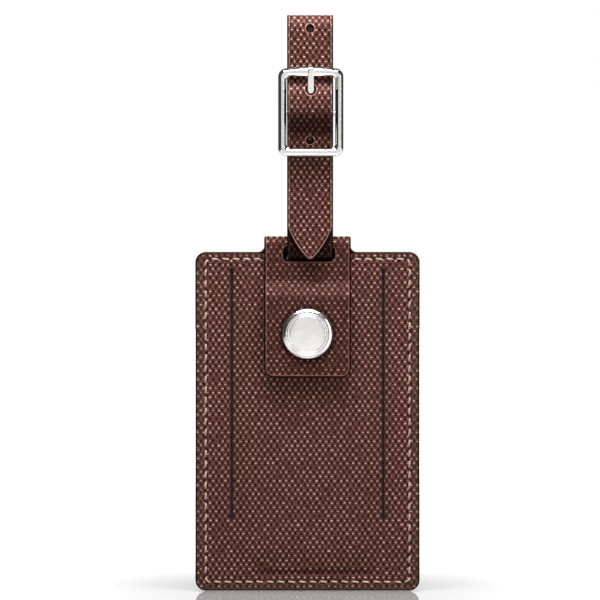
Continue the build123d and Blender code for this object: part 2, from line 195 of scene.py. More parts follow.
def round_corner(distance, radius):
    """How far a rounded corner stands in from the edge, at a distance from the corner's end."""
    gap = np.clip(radius - distance, 0, radius)
    return radius - np.sqrt(radius**2 - gap**2)


def roll_off(edge, radius):
    """Drop of a rounded edge at a distance from it."""
    gap = np.clip(radius - edge, 0, radius)
    return radius - np.sqrt(np.maximum(radius**2 - gap**2, 0))


def smooth(value, low, high):
    """Smooth step from 0 at low to 1 at high."""
    t = np.clip((value - low) / (high - low), 0, 1)
    return t * t * (3 - 2 * t)


def ridge(value, width):
    return np.exp(-((value / width) ** 2))


def level(height):
    """Height function of a flat face."""
    return lambda x, s: np.full_like(x, height)


def wander(x, s, scale, seed):
    """Slow, smooth unevenness between about -1 and 1."""
    total = np.zeros_like(x)
    source = np.random.default_rng(seed)
    for _ in range(6):
        turn, phase, pace = source.uniform(0, 2 * np.pi, 2).tolist() + [source.uniform(0.6, 1.7)]
        reach = (x * np.cos(turn) + s * np.sin(turn)) * pace / scale
        total += np.sin(reach + phase)
    return total / 4


def stretched(x, s):
    """Place in the weave, which wanders a little as pressed leather does."""
    return x + 0.2 * wander(x, s, 0.9, 11), s + 0.15 * wander(x, s, 0.8, 12)


def weave(x, s):
    """Height of the embossed weave from 0 to 1: a raised net with staggered pits and knots."""
    x, s = stretched(x, s)
    across, along = np.cos(2 * np.pi * x / PITCH), np.cos(np.pi * s / ROW)
    pit = smooth(-across * along, 0.1, 0.95)
    knot = np.clip(across * along, 0, 1) * along**2
    return 0.72 - 0.72 * pit + 0.28 * knot


def embossed(x, s, pressed, bare=0.25, base=0.8):
    """Height of the weave about its base, down to a bare share of it where pressed is 0."""
    return RELIEF * (weave(x, s) - base) * (bare + (1 - bare) * pressed)


def ladder(start, stop, step, specials=()):
    """Steps from start to stop that include the special values."""
    kept = sorted({round(v, 5) for v in specials if start <= v <= stop} | {start, stop})
    plain = np.arange(math.ceil(start / step) * step, stop, step)
    free = [v for v in plain if min(abs(v - k) for k in kept) > 0.3 * step]
    return np.array(sorted(kept + free))


def edge_steps(*edges, side=1):
    """Close steps inside an edge, so that it can be rounded."""
    return [edge + side * gap for edge in edges for gap in (0, 0.05, 0.15, 0.3, 0.5)]


def arc_steps(end, radius, side, count=11):
    """Steps along a rounded corner that starts at end."""
    return [end + side * radius * (1 - math.cos(math.pi / 2 * k / count)) for k in range(count + 1)]


# Meshes -------------------------------------------------------------------------------------


def make_object(name, points, faces, marks=None, material_index=None, smooth_angle=60):
    """Mesh object in metres from points in millimetres, with named values on its points."""
    mesh = bpy.data.meshes.new(name)
    mesh.from_pydata((np.asarray(points) * MM).tolist(), [], faces)
    for mark, values in (marks or {}).items():
        values = np.asarray(values, np.float32)
        kind, field = ("FLOAT_VECTOR", "vector") if values.ndim == 2 else ("FLOAT", "value")
        layer = mesh.attributes.new(mark, kind, "POINT")
        layer.data.foreach_set(field, values.ravel())
    if material_index is not None:
        mesh.polygons.foreach_set("material_index", np.asarray(material_index, np.int32))
    turned = bmesh.new()
    turned.from_mesh(mesh)
    bmesh.ops.recalc_face_normals(turned, faces=turned.faces)
    turned.to_mesh(mesh)
    turned.free()
    mesh.shade_smooth()
    mesh.set_sharp_from_angle(angle=math.radians(smooth_angle))
    piece = bpy.data.objects.new(name, mesh)
    bpy.context.scene.collection.objects.link(piece)
    return piece


def sheet(
    name, course, rows, columns, top, under, edge, knots=None, keep=None, holes=(), side=1,
    shade=None, shift=0.0,
):
    """Closed leather sheet along a course.

    top(x, s) and under(x, s) are heights on the side of the course given by side, edge(x, s) is
    the distance from the cut edge, knots(s) gives (from, to) pairs that stretch the columns,
    keep(x, s) says which cells stay, holes are (x, s, half width, half length), and
    shade(x, s) is how much painted shade darkens the top, from 0 to 1, and shift is the middle of the
    weave.
    """
    count_s, count_x = len(rows), len(columns)
    flat_s, flat_x = np.meshgrid(rows, columns, indexing="ij")
    x = flat_x.copy()
    if knots:
        for i, s in enumerate(rows):
            source, target = zip(*sorted(knots(s)))
            x[i] = np.interp(columns, source, target)
    s = flat_s.copy()
    for hole_x, hole_s, half_x, half_s in holes:
        across, along = (x - hole_x) / half_x, (s - hole_s) / half_s
        square = np.maximum(np.abs(across), np.abs(along))
        circle = np.maximum(np.hypot(across, along), 1e-9)
        pull = 1 - np.clip((square - 1) / 1.6, 0, 1)
        scale = 1 + (square / circle - 1) * pull
        x = hole_x + (x - hole_x) * scale
        s = hole_s + (s - hole_s) * scale
    mid_x = 0.5 * (flat_x[1:, 1:] + flat_x[:-1, :-1])
    mid_s = 0.5 * (flat_s[1:, 1:] + flat_s[:-1, :-1])
    kept = np.ones((count_s - 1, count_x - 1), bool) if keep is None else keep(mid_x, mid_s)
    for hole_x, hole_s, half_x, half_s in holes:
        kept &= (np.abs(mid_x - hole_x) > half_x) | (np.abs(mid_s - hole_s) > half_s)
    distance = np.maximum(edge(x, s), 0)
    spots, normals = course.at(s.ravel())
    layers = []
    for height in (top(x, s), under(x, s)):
        offset = normals * (side * height.ravel())[:, None]
        layers.append(np.column_stack([x.ravel(), spots + offset]))
    grid = np.arange(count_s * count_x).reshape(count_s, count_x)
    lower = grid + count_s * count_x
    padded = np.pad(kept, 1)
    faces, kinds, walled = [], [], np.zeros((count_s, count_x), bool)
    rows_on, columns_on = np.nonzero(kept)
    quads = np.stack(
        [
            grid[rows_on, columns_on], grid[rows_on, columns_on + 1],
            grid[rows_on + 1, columns_on + 1], grid[rows_on + 1, columns_on],
        ],
        1,
    )
    faces += quads.tolist()
    kinds += [0] * len(quads)
    sides = (
        (-1, 0, (0, 0), (0, 1)), (1, 0, (1, 1), (1, 0)), (0, -1, (1, 0), (0, 0)),
        (0, 1, (0, 1), (1, 1)),
    )
    for step_s, step_x, first, second in sides:
        open_side = kept & ~padded[1 + step_s : count_s + step_s, 1 + step_x : count_x + step_x]
        for i, j in zip(*np.nonzero(open_side)):
            a, b = (i + first[0], j + first[1]), (i + second[0], j + second[1])
            faces.append([grid[a], lower[a], lower[b], grid[b]])
            kinds.append(0)
            walled[a] = walled[b] = True
    for i in range(count_s - 1):
        edges_on = np.flatnonzero(np.diff(np.pad(kept[i], 1).astype(int)))
        for begin, end in zip(edges_on[::2], edges_on[1::2]):
            near = [lower[i, j] for j in range(begin, end + 1) if walled[i, j]]
            far = [lower[i + 1, j] for j in range(begin, end + 1) if walled[i + 1, j]]
            faces.append(near[::-1] + far)
            kinds.append(1)
    used = np.unique(np.concatenate([np.asarray(face) for face in faces]))
    renumber = np.zeros(2 * count_s * count_x, int)
    renumber[used] = np.arange(len(used))
    points = np.concatenate(layers)[used]
    grain_x, grain_s = stretched(x - shift, s)
    grain_top = np.column_stack([grain_x.ravel(), grain_s.ravel(), distance.ravel()])
    grain_low = grain_top * (1, 1, 0)
    # painted_shade: painted shade put into the top's colour, where shade falls in grooves, creases and
    # holes
    painted_shade = np.zeros(2 * x.size)
    if shade:
        painted_shade[: x.size] = shade(x, s).ravel()
    marks = {"grain": np.concatenate([grain_top, grain_low])[used], "painted_shade": painted_shade[used]}
    faces = [renumber[np.asarray(face)].tolist() for face in faces]
    return make_object(name, points, faces, marks, kinds)


def lathe(name, profile, centre, turns=96):
    """Turned piece about an axis along Y, from (depth, radius) points, closed on itself."""
    profile = np.asarray(profile, float)
    angles = np.linspace(0, 2 * np.pi, turns, endpoint=False)
    points, faces = [], []
    for angle in angles:
        for depth, radius in profile:
            points.append(
                (centre[0] + radius * math.sin(angle), depth, centre[1] + radius * math.cos(angle))
            )
    count = len(profile)
    for k in range(turns):
        for i in range(count):
            a, b = k * count + i, k * count + (i + 1) % count
            c, d = (k + 1) % turns * count + (i + 1) % count, (k + 1) % turns * count + i
            faces.append([a, b, c, d])
    piece = make_object(name, points, faces, smooth_angle=35)
    clean = bmesh.new()
    clean.from_mesh(piece.data)
    bmesh.ops.remove_doubles(clean, verts=clean.verts, dist=1e-7)
    bmesh.ops.dissolve_degenerate(clean, edges=clean.edges, dist=1e-7)
    bmesh.ops.recalc_face_normals(clean, faces=clean.faces)
    clean.to_mesh(piece.data)
    clean.free()
    return piece


def rounded_profile(points, radius, steps=4):
    """Closed profile with its corners rounded."""
    points = [np.array(p, float) for p in points]
    result = []
    for before, corner, after in zip([points[-1]] + points, points, points[1:] + points[:1]):
        into, out = before - corner, after - corner
        reach = min(radius, 0.45 * np.linalg.norm(into), 0.45 * np.linalg.norm(out))
        first, last = corner + unit(into) * reach, corner + unit(out) * reach
        if abs(corner[1]) < 1e-6:
            result.append(corner)
            continue
        for t in np.linspace(0, 1, steps):
            result.append((1 - t) ** 2 * first + 2 * t * (1 - t) * corner + t**2 * last)
    return result


def tube(name, paths, radius, around=8, flat=1.0):
    """Threads or wires: one closed tube for each path, with tapered round ends."""
    points, faces = [], []
    for path, normals in paths:
        path, normals = np.asarray(path, float), np.asarray(normals, float)
        base, count = len(points), len(path)
        tangents = np.gradient(path, axis=0)
        tangents /= np.linalg.norm(tangents, axis=1)[:, None]
        sideways = np.cross(tangents, normals)
        sideways /= np.linalg.norm(sideways, axis=1)[:, None]
        upward = np.cross(sideways, tangents)
        share = np.linspace(-1, 1, count)
        girth = radius * np.sqrt(np.clip(1 - share**6, 0.05, 1))
        for k in range(count):
            for n in range(around):
                angle = 2 * np.pi * n / around
                swing = sideways[k] * math.cos(angle) + upward[k] * (math.sin(angle) * flat)
                points.append(path[k] + swing * girth[k])
        for k in range(count - 1):
            for n in range(around):
                a, b = base + k * around + n, base + k * around + (n + 1) % around
                faces.append([a, b, b + around, a + around])
        faces.append([base + n for n in range(around)][::-1])
        faces.append([base + (count - 1) * around + n for n in range(around)])
    return make_object(name, points, faces)


def stitches(name, line, normals, lift, closed_pitch=STITCH_PITCH):
    """Row of stitches along a polyline, each one rising from its hole and diving into the next."""
    line, normals = np.asarray(line, float), np.asarray(normals, float)
    steps = np.linalg.norm(np.diff(line, axis=0), axis=1)
    along = np.concatenate([[0], np.cumsum(steps)])
    count = max(1, round(along[-1] / closed_pitch))
    pitch = along[-1] / count
    paths = []
    for k in range(count):
        t = np.linspace(-1, 1, 7)
        s = (k + 0.5 * (1 + t * STITCH_LENGTH / STITCH_PITCH)) * pitch
        spot = np.column_stack([np.interp(s, along, line[:, c]) for c in range(3)])
        normal = np.column_stack([np.interp(s, along, normals[:, c]) for c in range(3)])
        rise = lift - STITCH_DIVE * np.abs(t) ** 3
        tangent = np.gradient(spot, axis=0)
        tangent /= np.linalg.norm(tangent, axis=1)[:, None]
        slew = np.cross(tangent, normal) * (0.14 * t + random.uniform(-0.03, 0.03))[:, None]
        paths.append((spot + normal * rise[:, None] + slew, normal))
    return tube(name, paths, THREAD, around=8, flat=0.8)


# Outlines -----------------------------------------------------------------------------------


def tag_half_width(z):
    return HALF - round_corner(min(z, TALL - z), CORNER)


def tag_edge(x, z):
    """Distance inside the tag's outline, open at the top for the strap."""
    outline = -rounded_box(x, z, (0, TALL / 2), (HALF, TALL / 2), CORNER)
    notch = np.hypot(np.maximum(np.abs(x - SLOT_X) - SLOT_HALF, 0), np.maximum(SLOT_LOW - z, 0))
    return np.minimum(outline, notch)


def seam_distance(x, z):
    """Distance from the seam round the tag."""
    middle = 0.5 * (SEAM_LOW + TALL - SEAM_HIGH)
    half = (HALF - SEAM_SIDE, 0.5 * (TALL - SEAM_HIGH - SEAM_LOW))
    return np.abs(rounded_box(x, z, (0, middle), half, SEAM_CORNER))


def seam_marks(distance):
    """Pressed groove of a seam, and the softly raised leather beside it."""
    return -0.3 * ridge(distance, 0.42) + 0.06 * ridge(distance - 0.95, 0.4)


def slit_reach(z):
    """Half width of a slit, wider at its stop holes."""
    reach = SLIT_HALF
    for stop in (SLIT_LOW, SLIT_HIGH):
        reach = max(reach, math.sqrt(max(STOP_RADIUS**2 - (z - stop) ** 2, 0)))
    if z < SLIT_LOW or z > SLIT_HIGH:
        away = min(abs(z - SLIT_LOW), abs(z - SLIT_HIGH))
        reach = max(math.sqrt(max(STOP_RADIUS**2 - away**2, 0)), 0.02)
    return reach


def slit_distance(x, z):
    """Distance outside the slits."""
    across = np.abs(np.abs(x) - SLIT_X)
    beyond = np.maximum(np.maximum(SLIT_LOW - z, z - SLIT_HIGH), 0)
    line = np.hypot(np.maximum(across - SLIT_HALF, 0), beyond)
    for stop in (SLIT_LOW, SLIT_HIGH):
        line = np.minimum(line, np.maximum(np.hypot(across, z - stop) - STOP_RADIUS, 0))
    return line


def mirrored(values):
    return [side * value for value in values for side in (-1, 1)]


def both_sides(*pairs, middle=0):
    """Knots (from, to) on both sides of a middle."""
    return [(middle + side * a, middle + side * b) for side in (-1, 1) for a, b in pairs]


tag_rows = ladder(
    0.0, TALL, FINE_S, arc_steps(0, CORNER, 1) + arc_steps(TALL, CORNER, -1)
    + [SLIT_LOW + STOP_RADIUS * k / 4 for k in range(-4, 5)]
    + [SLIT_HIGH + STOP_RADIUS * k / 4 for k in range(-4, 5)] + edge_steps(SLOT_LOW, side=-1),
)
slit_columns = [SLIT_X + side * (SLIT_HALF + gap) for side in (-1, 1) for gap in (0, 0.08, 0.22)]
slot_columns = edge_steps(SLOT_X + SLOT_HALF) + edge_steps(SLOT_X - SLOT_HALF, side=-1)
tag_columns = ladder(
    -HALF, HALF, FINE_X, mirrored(edge_steps(HALF, side=-1)) + mirrored(slit_columns) + slot_columns,
)


# Front of the tag ---------------------------------------------------------------------------

front_course = upright(FRONT, 0, TALL)


CREASE_Z = 5.6


def crease(x, z, width):
    """Bend line across the front near the bottom, fading out towards both sides."""
    return ridge(z - CREASE_Z, width) * smooth(x, -19, -13) * smooth(22.5 - x, 0, 6)


def front_top(x, z):
    edge = np.minimum(tag_edge(x, z), 9)
    slit = slit_distance(x, z)
    seam = seam_distance(x, z)
    pressed = smooth(edge, 0.1, 1.2) * smooth(seam, 0.2, 0.9) * smooth(slit, 0.05, 0.9)
    height = embossed(x, z, pressed)
    height += seam_marks(seam) - roll_off(edge, 0.4) - 0.7 * roll_off(slit, 0.35)
    swell = smooth(SLIT_X - np.abs(x), 0.3, 7) * smooth(z, 6.5, 14) * smooth(78 - z, 0, 22)
    height += 0.42 * swell - 0.34 * crease(x, z, 0.8) - 0.10 * ridge(slit - 0.9, 0.8)
    return height + 0.045 * wander(x, z, 11, 3)


# Painted shade on the front: darker in the seam groove, along the slits and in the crease near the
# bottom, where shade falls
def front_shade(x, z):
    seam = ridge(seam_distance(x, z), 0.35)
    slit = 0.4 * ridge(slit_distance(x, z), 0.2)
    return np.clip(np.max([0.55 * seam, slit, 0.55 * crease(x, z, 0.75)], axis=0), 0, 1)


def front_knots(z):
    reach, half = slit_reach(z), tag_half_width(z)
    return [(0, 0)] + both_sides(
        (SLIT_X - 1.2, SLIT_X - 1.2), (SLIT_X - SLIT_HALF, SLIT_X - reach),
        (SLIT_X + SLIT_HALF, SLIT_X + reach), (SLIT_X + 1.2, SLIT_X + 1.2), (HALF - 5, HALF - 5),
        (HALF, half),
    )


def front_keep(x, z):
    slit = np.abs(np.abs(x) - SLIT_X) < SLIT_HALF
    slit &= (z > SLIT_LOW - STOP_RADIUS) & (z < SLIT_HIGH + STOP_RADIUS)
    notch = (np.abs(x - SLOT_X) < SLOT_HALF) & (z > SLOT_LOW)
    return ~slit & ~notch


front_panel = sheet(
    "front_panel_leather", front_course, tag_rows, tag_columns, front_top,
    lambda x, z: np.full_like(x, -0.97) + 0.12 * (1 - smooth(tag_edge(x, z), 0, 0.5)),
    lambda x, z: np.minimum(tag_edge(x, z), 4 * slit_distance(x, z)), front_knots, front_keep,
    [(0, snap_z, 1.3, 1.3)], side=-1, shade=front_shade,
)


# Back of the tag, neck, fold and flap -------------------------------------------------------

HALF_LEATHER = LEATHER / 2
middle = REAR - HALF_LEATHER
flap_middle = flap_low[1] + HALF_LEATHER
flap_bottom = flap_low[2]
FLAP_CORNER = 3.0
NECK_FILLET = 2.0
SLOT_CORNER = 1.3
cover_course = Course(
    [
        (middle, 0, 0), (middle, pivot[2] + middle, middle), (-middle, pivot[2] + middle, middle),
        (-middle, hinge[2] - 1.4, 3.0), (flap_middle, hinge[2] - 6.2, 4.0),
        (flap_middle, flap_bottom, 0),
    ]
)
cover_end = cover_course.length
fold_turn = math.pi * middle
front_leg = 2 * pivot[2] + fold_turn
join = pocket_high[2] - 0.4
flap_snap = cover_end - (snap_z - flap_bottom)
slot_middle = 0.5 * (SLOT_LOW + SLOT_HIGH)
slot_half_length = 0.5 * (SLOT_HIGH - SLOT_LOW)
REAR_SLOT_LOW = 103.6
REAR_SLOT_CORNER = 0.1
strap_middle = 0.5 * (strap_low[0] + strap_high[0])
strap_half = 0.5 * (strap_high[0] - strap_low[0])
rear_slot_middle = 0.5 * (REAR_SLOT_LOW + SLOT_HIGH)
slots = (
    (strap_middle, rear_slot_middle, strap_half + 0.03, SLOT_HIGH - rear_slot_middle, REAR_SLOT_CORNER),
    (SLOT_X, front_leg - slot_middle, SLOT_HALF, slot_half_length, SLOT_CORNER),
)


def back_top(x, z):
    edge = tag_edge(x, z)
    seam = seam_distance(x, z)
    pocket_middle = (0, 0.5 * (pocket_low[2] + pocket_high[2]))
    pocket_half = (pocket_high[0], 0.5 * (pocket_high[2] - pocket_low[2]))
    covered = smooth(-rounded_box(x, z, pocket_middle, pocket_half, 2.5), -0.5, 0.3)
    pressed = smooth(edge, 0.1, 1.2) * smooth(seam, 0.2, 0.9)
    height = embossed(x, z, pressed)
    height += seam_marks(seam) - roll_off(edge, 0.4)
    return HALF_LEATHER + height * (1 - covered) - 0.04 * covered


# Painted shade on the back: darker in the seam groove
def back_shade(x, z):
    return 0.55 * ridge(seam_distance(x, z), 0.35)


def back_knots(z):
    return both_sides((HALF - 5, HALF - 5), (HALF, tag_half_width(z)))


back_panel = sheet(
    "back_panel_leather", cover_course, ladder(0.0, join, FINE_S, arc_steps(0, CORNER, 1)),
    ladder(-HALF, HALF, FINE_X, mirrored(edge_steps(HALF, side=-1))), back_top,
    level(-HALF_LEATHER + 0.02), tag_edge, back_knots, shade=back_shade,
)


def slot_gap(x, s):
    """Distance outside the strap's slots."""
    gaps = [rounded_box(x, s, slot[:2], slot[2:4], slot[4]) for slot in slots]
    return np.maximum(np.minimum(*gaps), 0)


def tab_edge(x, s):
    """Distance inside the cut edge of the neck and flap."""
    strip = -rounded_box(x, s, (0, TALL / 2), (HALF, TALL / 2), CORNER)
    tab_half = (cover_end - join) / 2 + 20
    neck = -rounded_box(x, s, (0, cover_end - tab_half), (NECK_HALF, tab_half), FLAP_CORNER)
    root_x, root_s = NECK_HALF + NECK_FILLET, TALL + NECK_FILLET
    near_root = (np.abs(x) < root_x) & (np.abs(x) > NECK_HALF - 2) & (np.abs(s - TALL) < NECK_FILLET)
    fillet = np.hypot(root_x - np.abs(x), root_s - s) - NECK_FILLET
    outline = np.maximum(np.maximum(strip, neck), np.where(near_root, fillet, -9))
    return np.minimum(outline, slot_gap(x, s))


def tab_top(x, s):
    edge = tab_edge(x, s)
    seam = np.where(s < TALL, seam_distance(x, s), 9)
    border = np.where(s > front_leg - hinge[2], np.exp(-(((edge - 0.95) / 0.2) ** 2)), 0)
    pressed = smooth(edge, 0.1, 1.1) * smooth(seam, 0.2, 0.9)
    around_cap = np.hypot(x, s - flap_snap)
    pressed = pressed * smooth(around_cap, 7.6, 8.6)
    height = embossed(x, s, pressed, bare=0.2)
    height += seam_marks(seam) - roll_off(edge, 0.42) - 0.09 * border
    height -= 0.10 * (1 - smooth(around_cap, 7.4, 9.8))
    return HALF_LEATHER + height + 0.02 * wander(x, s, 6, 5)


def tab_under(x, s):
    on_front = smooth(s, front_leg - TALL, front_leg - TALL + 0.8) * smooth(cover_end - 30 - s, 0, 1)
    return -HALF_LEATHER + 0.03 + 0.13 * on_front


# Painted shade on the neck and flap: darker in the seam groove, and a painted shadow in a ring round
# the snap cap
def tab_shade(x, s):
    seam = np.where(s < TALL, seam_distance(x, s), 9)
    cap = 0.75 * (1 - smooth(np.hypot(x, s - flap_snap), 8.0, 9.6))
    return np.maximum(0.55 * ridge(seam, 0.35), cap)


def tab_knots(s):
    fillet = round_corner(min(abs(s - TALL), NECK_FILLET), NECK_FILLET) if s >= TALL else 0
    if s < TALL:
        fillet = NECK_FILLET * smooth(s, TALL - 3, TALL)
    if s > TALL + NECK_FILLET:
        fillet = -round_corner(cover_end - s, FLAP_CORNER)
    slot_x, slot_reach = SLOT_X, SLOT_HALF
    for spot_x, spot, half, half_length, corner in slots:
        inside = half_length - abs(s - spot)
        if -0.001 <= inside:
            slot_x, slot_reach = spot_x, half - round_corner(inside, corner)
        elif spot_x != SLOT_X and s < pivot[2]:
            slot_x, slot_reach = spot_x, half
    outer = tag_half_width(s) if s <= TALL else HALF
    slot = [(SLOT_X + side * SLOT_HALF, slot_x + side * slot_reach) for side in (-1, 1)]
    edges = both_sides((NECK_HALF, NECK_HALF + fillet), (HALF - 5, HALF - 5), (HALF, outer))
    return [(0, 0)] + slot + edges


def tab_keep(x, s):
    slot = np.zeros(x.shape, bool)
    for _, spot, _, half_length, _ in slots:
        slot |= (np.abs(x - SLOT_X) < SLOT_HALF) & (np.abs(s - spot) < half_length)
    return ((s < TALL) | (np.abs(x) < NECK_HALF)) & ~slot


slot_rows = [
    spot + side * (half_length - gap) for _, spot, _, half_length, corner in slots for side in (-1, 1)
    for gap in [corner * (1 - math.cos(math.pi / 2 * k / 6)) for k in range(7)] + [-0.06, -0.2]
]
fold_rows = [pivot[2] + fold_turn * k / 24 for k in range(25)]
root_rows = [TALL + NECK_FILLET * math.sin(math.pi / 2 * k / 6) ** 2 for k in range(7)]
tab_rows = ladder(
    join, cover_end, FINE_S, slot_rows + fold_rows + root_rows + arc_steps(TALL, CORNER, -1)
    + arc_steps(cover_end, FLAP_CORNER, -1),
)
tab_columns = ladder(
    -HALF, HALF, FINE_X,
    mirrored(edge_steps(HALF, side=-1)) + mirrored(edge_steps(NECK_HALF, side=-1)) + slot_columns,
)
tab = sheet(
    "tab_leather", cover_course, tab_rows, tab_columns, tab_top, tab_under, tab_edge, tab_knots,
    tab_keep, [(0, flap_snap, 1.65, 1.65)], shade=tab_shade,
)


def plate(name, node, corner, keep=None, holes=(), step=2.5, outline=None, soft=0.12):
    """Flat layer of the stack with slightly rounded edges, in place of a CAD node."""
    low, high = node_box(node)
    low_z, tall = low[2], high[2] - low[2]
    mid_x, half = 0.5 * (low[0] + high[0]), 0.5 * (high[0] - low[0])
    thick = high[1] - low[1]
    course = Course([(high[1], low_z, 0), (high[1], low_z + tall / 2, 1), (high[1], high[2], 0)])

    def edge(x, s):
        inside = -rounded_box(x, s, (mid_x, tall / 2), (half, tall / 2), corner)
        return inside if outline is None else np.minimum(inside, outline(x, s + low_z))

    def knots(s):
        inset = round_corner(min(s, tall - s), corner)
        fixed = half - corner - 1
        return both_sides((fixed, fixed), (half, half - inset), middle=mid_x)

    def top(x, s):
        return -roll_off(edge(x, s), soft) - 0.005

    def under(x, s):
        return -thick + 0.005 + roll_off(edge(x, s), soft)

    columns = ladder(
        mid_x - half, mid_x + half, step,
        [mid_x + side * (half - gap) for side in (-1, 1) for gap in (0, 0.04, 0.12, 0.3)]
        + ([] if keep is None else slot_columns),
    )
    rows = ladder(
        0.0, tall, step, arc_steps(0, corner, 1) + arc_steps(tall, corner, -1)
        + ([] if keep is None else [SLOT_LOW - low_z]),
    )
    cells = None if keep is None else lambda x, s: keep(x, s + low_z)
    moved = [(x, z - low_z, across, along) for x, z, across, along in holes]
    return sheet(name, course, rows, columns, top, under, edge, knots, cells, moved)


def below_notch(x, z):
    return ~((np.abs(x - SLOT_X) < SLOT_HALF) & (z > SLOT_LOW))


# Strap --------------------------------------------------------------------------------------

OUTER = 0.85  # thickness of the outer leather
INNER = 0.45  # thickness of the lining
GAP = 0.1  # room round the buckle bar
RING = 3.5  # radius of the bends at the tag's folded neck
HOLE = 0.78  # radius of the punched holes
PRONG_HOLE = (1.26, 1.4)
RING_SLOT_HALF = 1.6
TIP_SHOULDER = 113.0
TIP_APEX = 102.4
TIP_BULGE = 0.7
TIP_ROUND = 1.8
PRONG_LEAN = math.radians(18)
bar_radius = 0.5 * (node_box("buckle_bar")[1][1] - node_box("buckle_bar")[0][1])
bar_y, bar_z = bar[1], bar[2]
lean, cosine, tangent = PRONG_LEAN, math.cos(PRONG_LEAN), math.tan(PRONG_LEAN)
wrap = bar_radius + GAP + INNER
hump = wrap + OUTER + INNER + GAP
free_y = -RING - OUTER - INNER - GAP
wrap_top = bar_z + wrap
touch_y, touch_z = bar_y - wrap * cosine, bar_z - wrap * math.sin(lean)
return_y = bar_y + wrap
return_bend = touch_z - (return_y - touch_y - (2 * INNER + GAP) / cosine) / tangent
hump_y, hump_touch_y = bar_y - hump, bar_y - hump * cosine
hump_touch_z = bar_z - hump * math.sin(lean)
top_line = strap_high[2] - OUTER
strap_course = Course(
    [
        (return_y + 4.2 * tangent, return_bend - 4.2, 0), (return_y, return_bend, 2.5),
        (return_y, wrap_top, wrap), (touch_y - (wrap_top - touch_z) * tangent, wrap_top, wrap),
        (-RING, touch_z - (-RING - touch_y) / tangent, 5.0), (-RING, pivot[2] - RING, RING),
        (RING, pivot[2] - RING, RING), (RING, pivot[2] + 2.7, 12.0), (15.0, 144.0, 30.0),
        (4.45, top_line, 4.0), (-4.75, top_line, 4.0), (-4.75, 160.6, 3.0), (hump_y, 154.6, 5.0),
        (hump_y, bar_z - hump * math.tan(lean / 2), hump),
        (free_y, hump_touch_z - (free_y - hump_touch_y) / tangent, 4.0), (free_y, TIP_APEX, 0),
    ]
)

half_chord = 0.5 * math.hypot(strap_half, TIP_SHOULDER - TIP_APEX)
bow_radius = (half_chord**2 + TIP_BULGE**2) / (2 * TIP_BULGE)
outward = np.array([TIP_SHOULDER - TIP_APEX, -strap_half]) / (2 * half_chord)
chord_middle = np.array([strap_half / 2, 0.5 * (TIP_SHOULDER + TIP_APEX)])
bow_centre = chord_middle - outward * (bow_radius - TIP_BULGE)
drop = math.sqrt((bow_radius - TIP_ROUND) ** 2 - bow_centre[0] ** 2)
nose_z = bow_centre[1] - drop
nose_touch = nose_z - TIP_ROUND * drop / (bow_radius - TIP_ROUND)
tip_z = nose_z - TIP_ROUND
tip_s = strap_course.length - (tip_z - TIP_APEX) - 0.01


def tip_half_width(z):
    """Half width of the strap at its pointed end."""
    if z >= TIP_SHOULDER:
        return strap_half
    if z > nose_touch:
        return bow_centre[0] + math.sqrt(bow_radius**2 - (z - bow_centre[1]) ** 2)
    return math.sqrt(max(TIP_ROUND**2 - (z - nose_z) ** 2, 1e-4))


tip_heights = [nose_z - TIP_ROUND * math.cos(0.05 + 0.07 * k) for k in range(11)]
tip_line_z = np.concatenate([tip_heights, np.linspace(nose_touch, TIP_SHOULDER, 60)])
tip_line_x = np.array([tip_half_width(z) for z in tip_line_z])


def strap_z(s):
    """Height above the tag's bottom edge, on the free end."""
    return TIP_APEX + strap_course.length - s


def find_s(height, low, high):
    """Length along the strap at which it passes a height."""
    samples = np.linspace(low, high, 4001)
    spots, _ = strap_course.at(samples)
    return samples[np.argmin(np.abs(spots[:, 1] - height))]


def meet_prong(offset):
    """Length along the free end at which a layer at this offset crosses the prong."""
    samples = np.linspace(0.5 * strap_course.length, tip_s, 20001)
    spots, normals = strap_course.at(samples)
    spots = spots + normals * offset
    across = (spots[:, 0] - bar_y) * cosine + (spots[:, 1] - bar_z) * math.sin(lean)
    near = np.abs(spots[:, 1] - bar_z - 7) < 4
    return samples[np.argmin(np.abs(across) + 100 * ~near)]


free_start = 0.5 * strap_course.length
hole_spots = [find_s(175.0, free_start, tip_s), find_s(140.6, free_start, tip_s)]
ring_slot = (find_s(146.3, 0, 7), find_s(146.3, 7.5, 16))
prong_x = bar[0]


def strap_edge(x, s):
    """Distance inside the strap's long edges and its tip."""
    across = np.abs(x - strap_middle)
    side = strap_half - across
    z = strap_z(s)
    near_tip = z < TIP_SHOULDER + 3
    gaps = np.hypot(across[near_tip][:, None] - tip_line_x, z[near_tip][:, None] - tip_line_z)
    side[near_tip] = np.minimum(side[near_tip], gaps.min(axis=1))
    return np.minimum(side, s)


def strap_holes(offset):
    spot = meet_prong(offset)
    round_holes = [(strap_middle, s, HOLE, HOLE) for s in hole_spots]
    return round_holes + [(prong_x, spot, *PRONG_HOLE)]


def hole_gap(x, s, offset):
    gaps = [np.hypot(x - hx, (s - hs) * rx / rs) - rx for hx, hs, rx, rs in strap_holes(offset)]
    return np.maximum(np.min(gaps, axis=0), 0)


def strap_knots(s):
    return both_sides((strap_half, tip_half_width(strap_z(s))), middle=strap_middle)


def strap_keep(x, s):
    return ~((np.abs(x - prong_x) < RING_SLOT_HALF) & (s > ring_slot[0]) & (s < ring_slot[1]))


def strap_top(x, s):
    side = strap_edge(x, s)
    gap = hole_gap(x, s, OUTER / 2)
    edge = np.minimum(side, gap)
    border = ridge(side - 1.0, 0.2)
    pressed = smooth(side, 0.9, 1.7) * smooth(gap, 0.1, 0.6)
    height = embossed(x - strap_middle, s, pressed, bare=0.12, base=1)
    height += -roll_off(edge, 0.36) - 0.13 * border - 0.08 * ridge(gap, 0.5)
    return OUTER + height


# Where the leg behind the strap's tip starts; strap_shade paints shade on it from here
leg_dark = find_s(119.0, 14.0, 60.0)
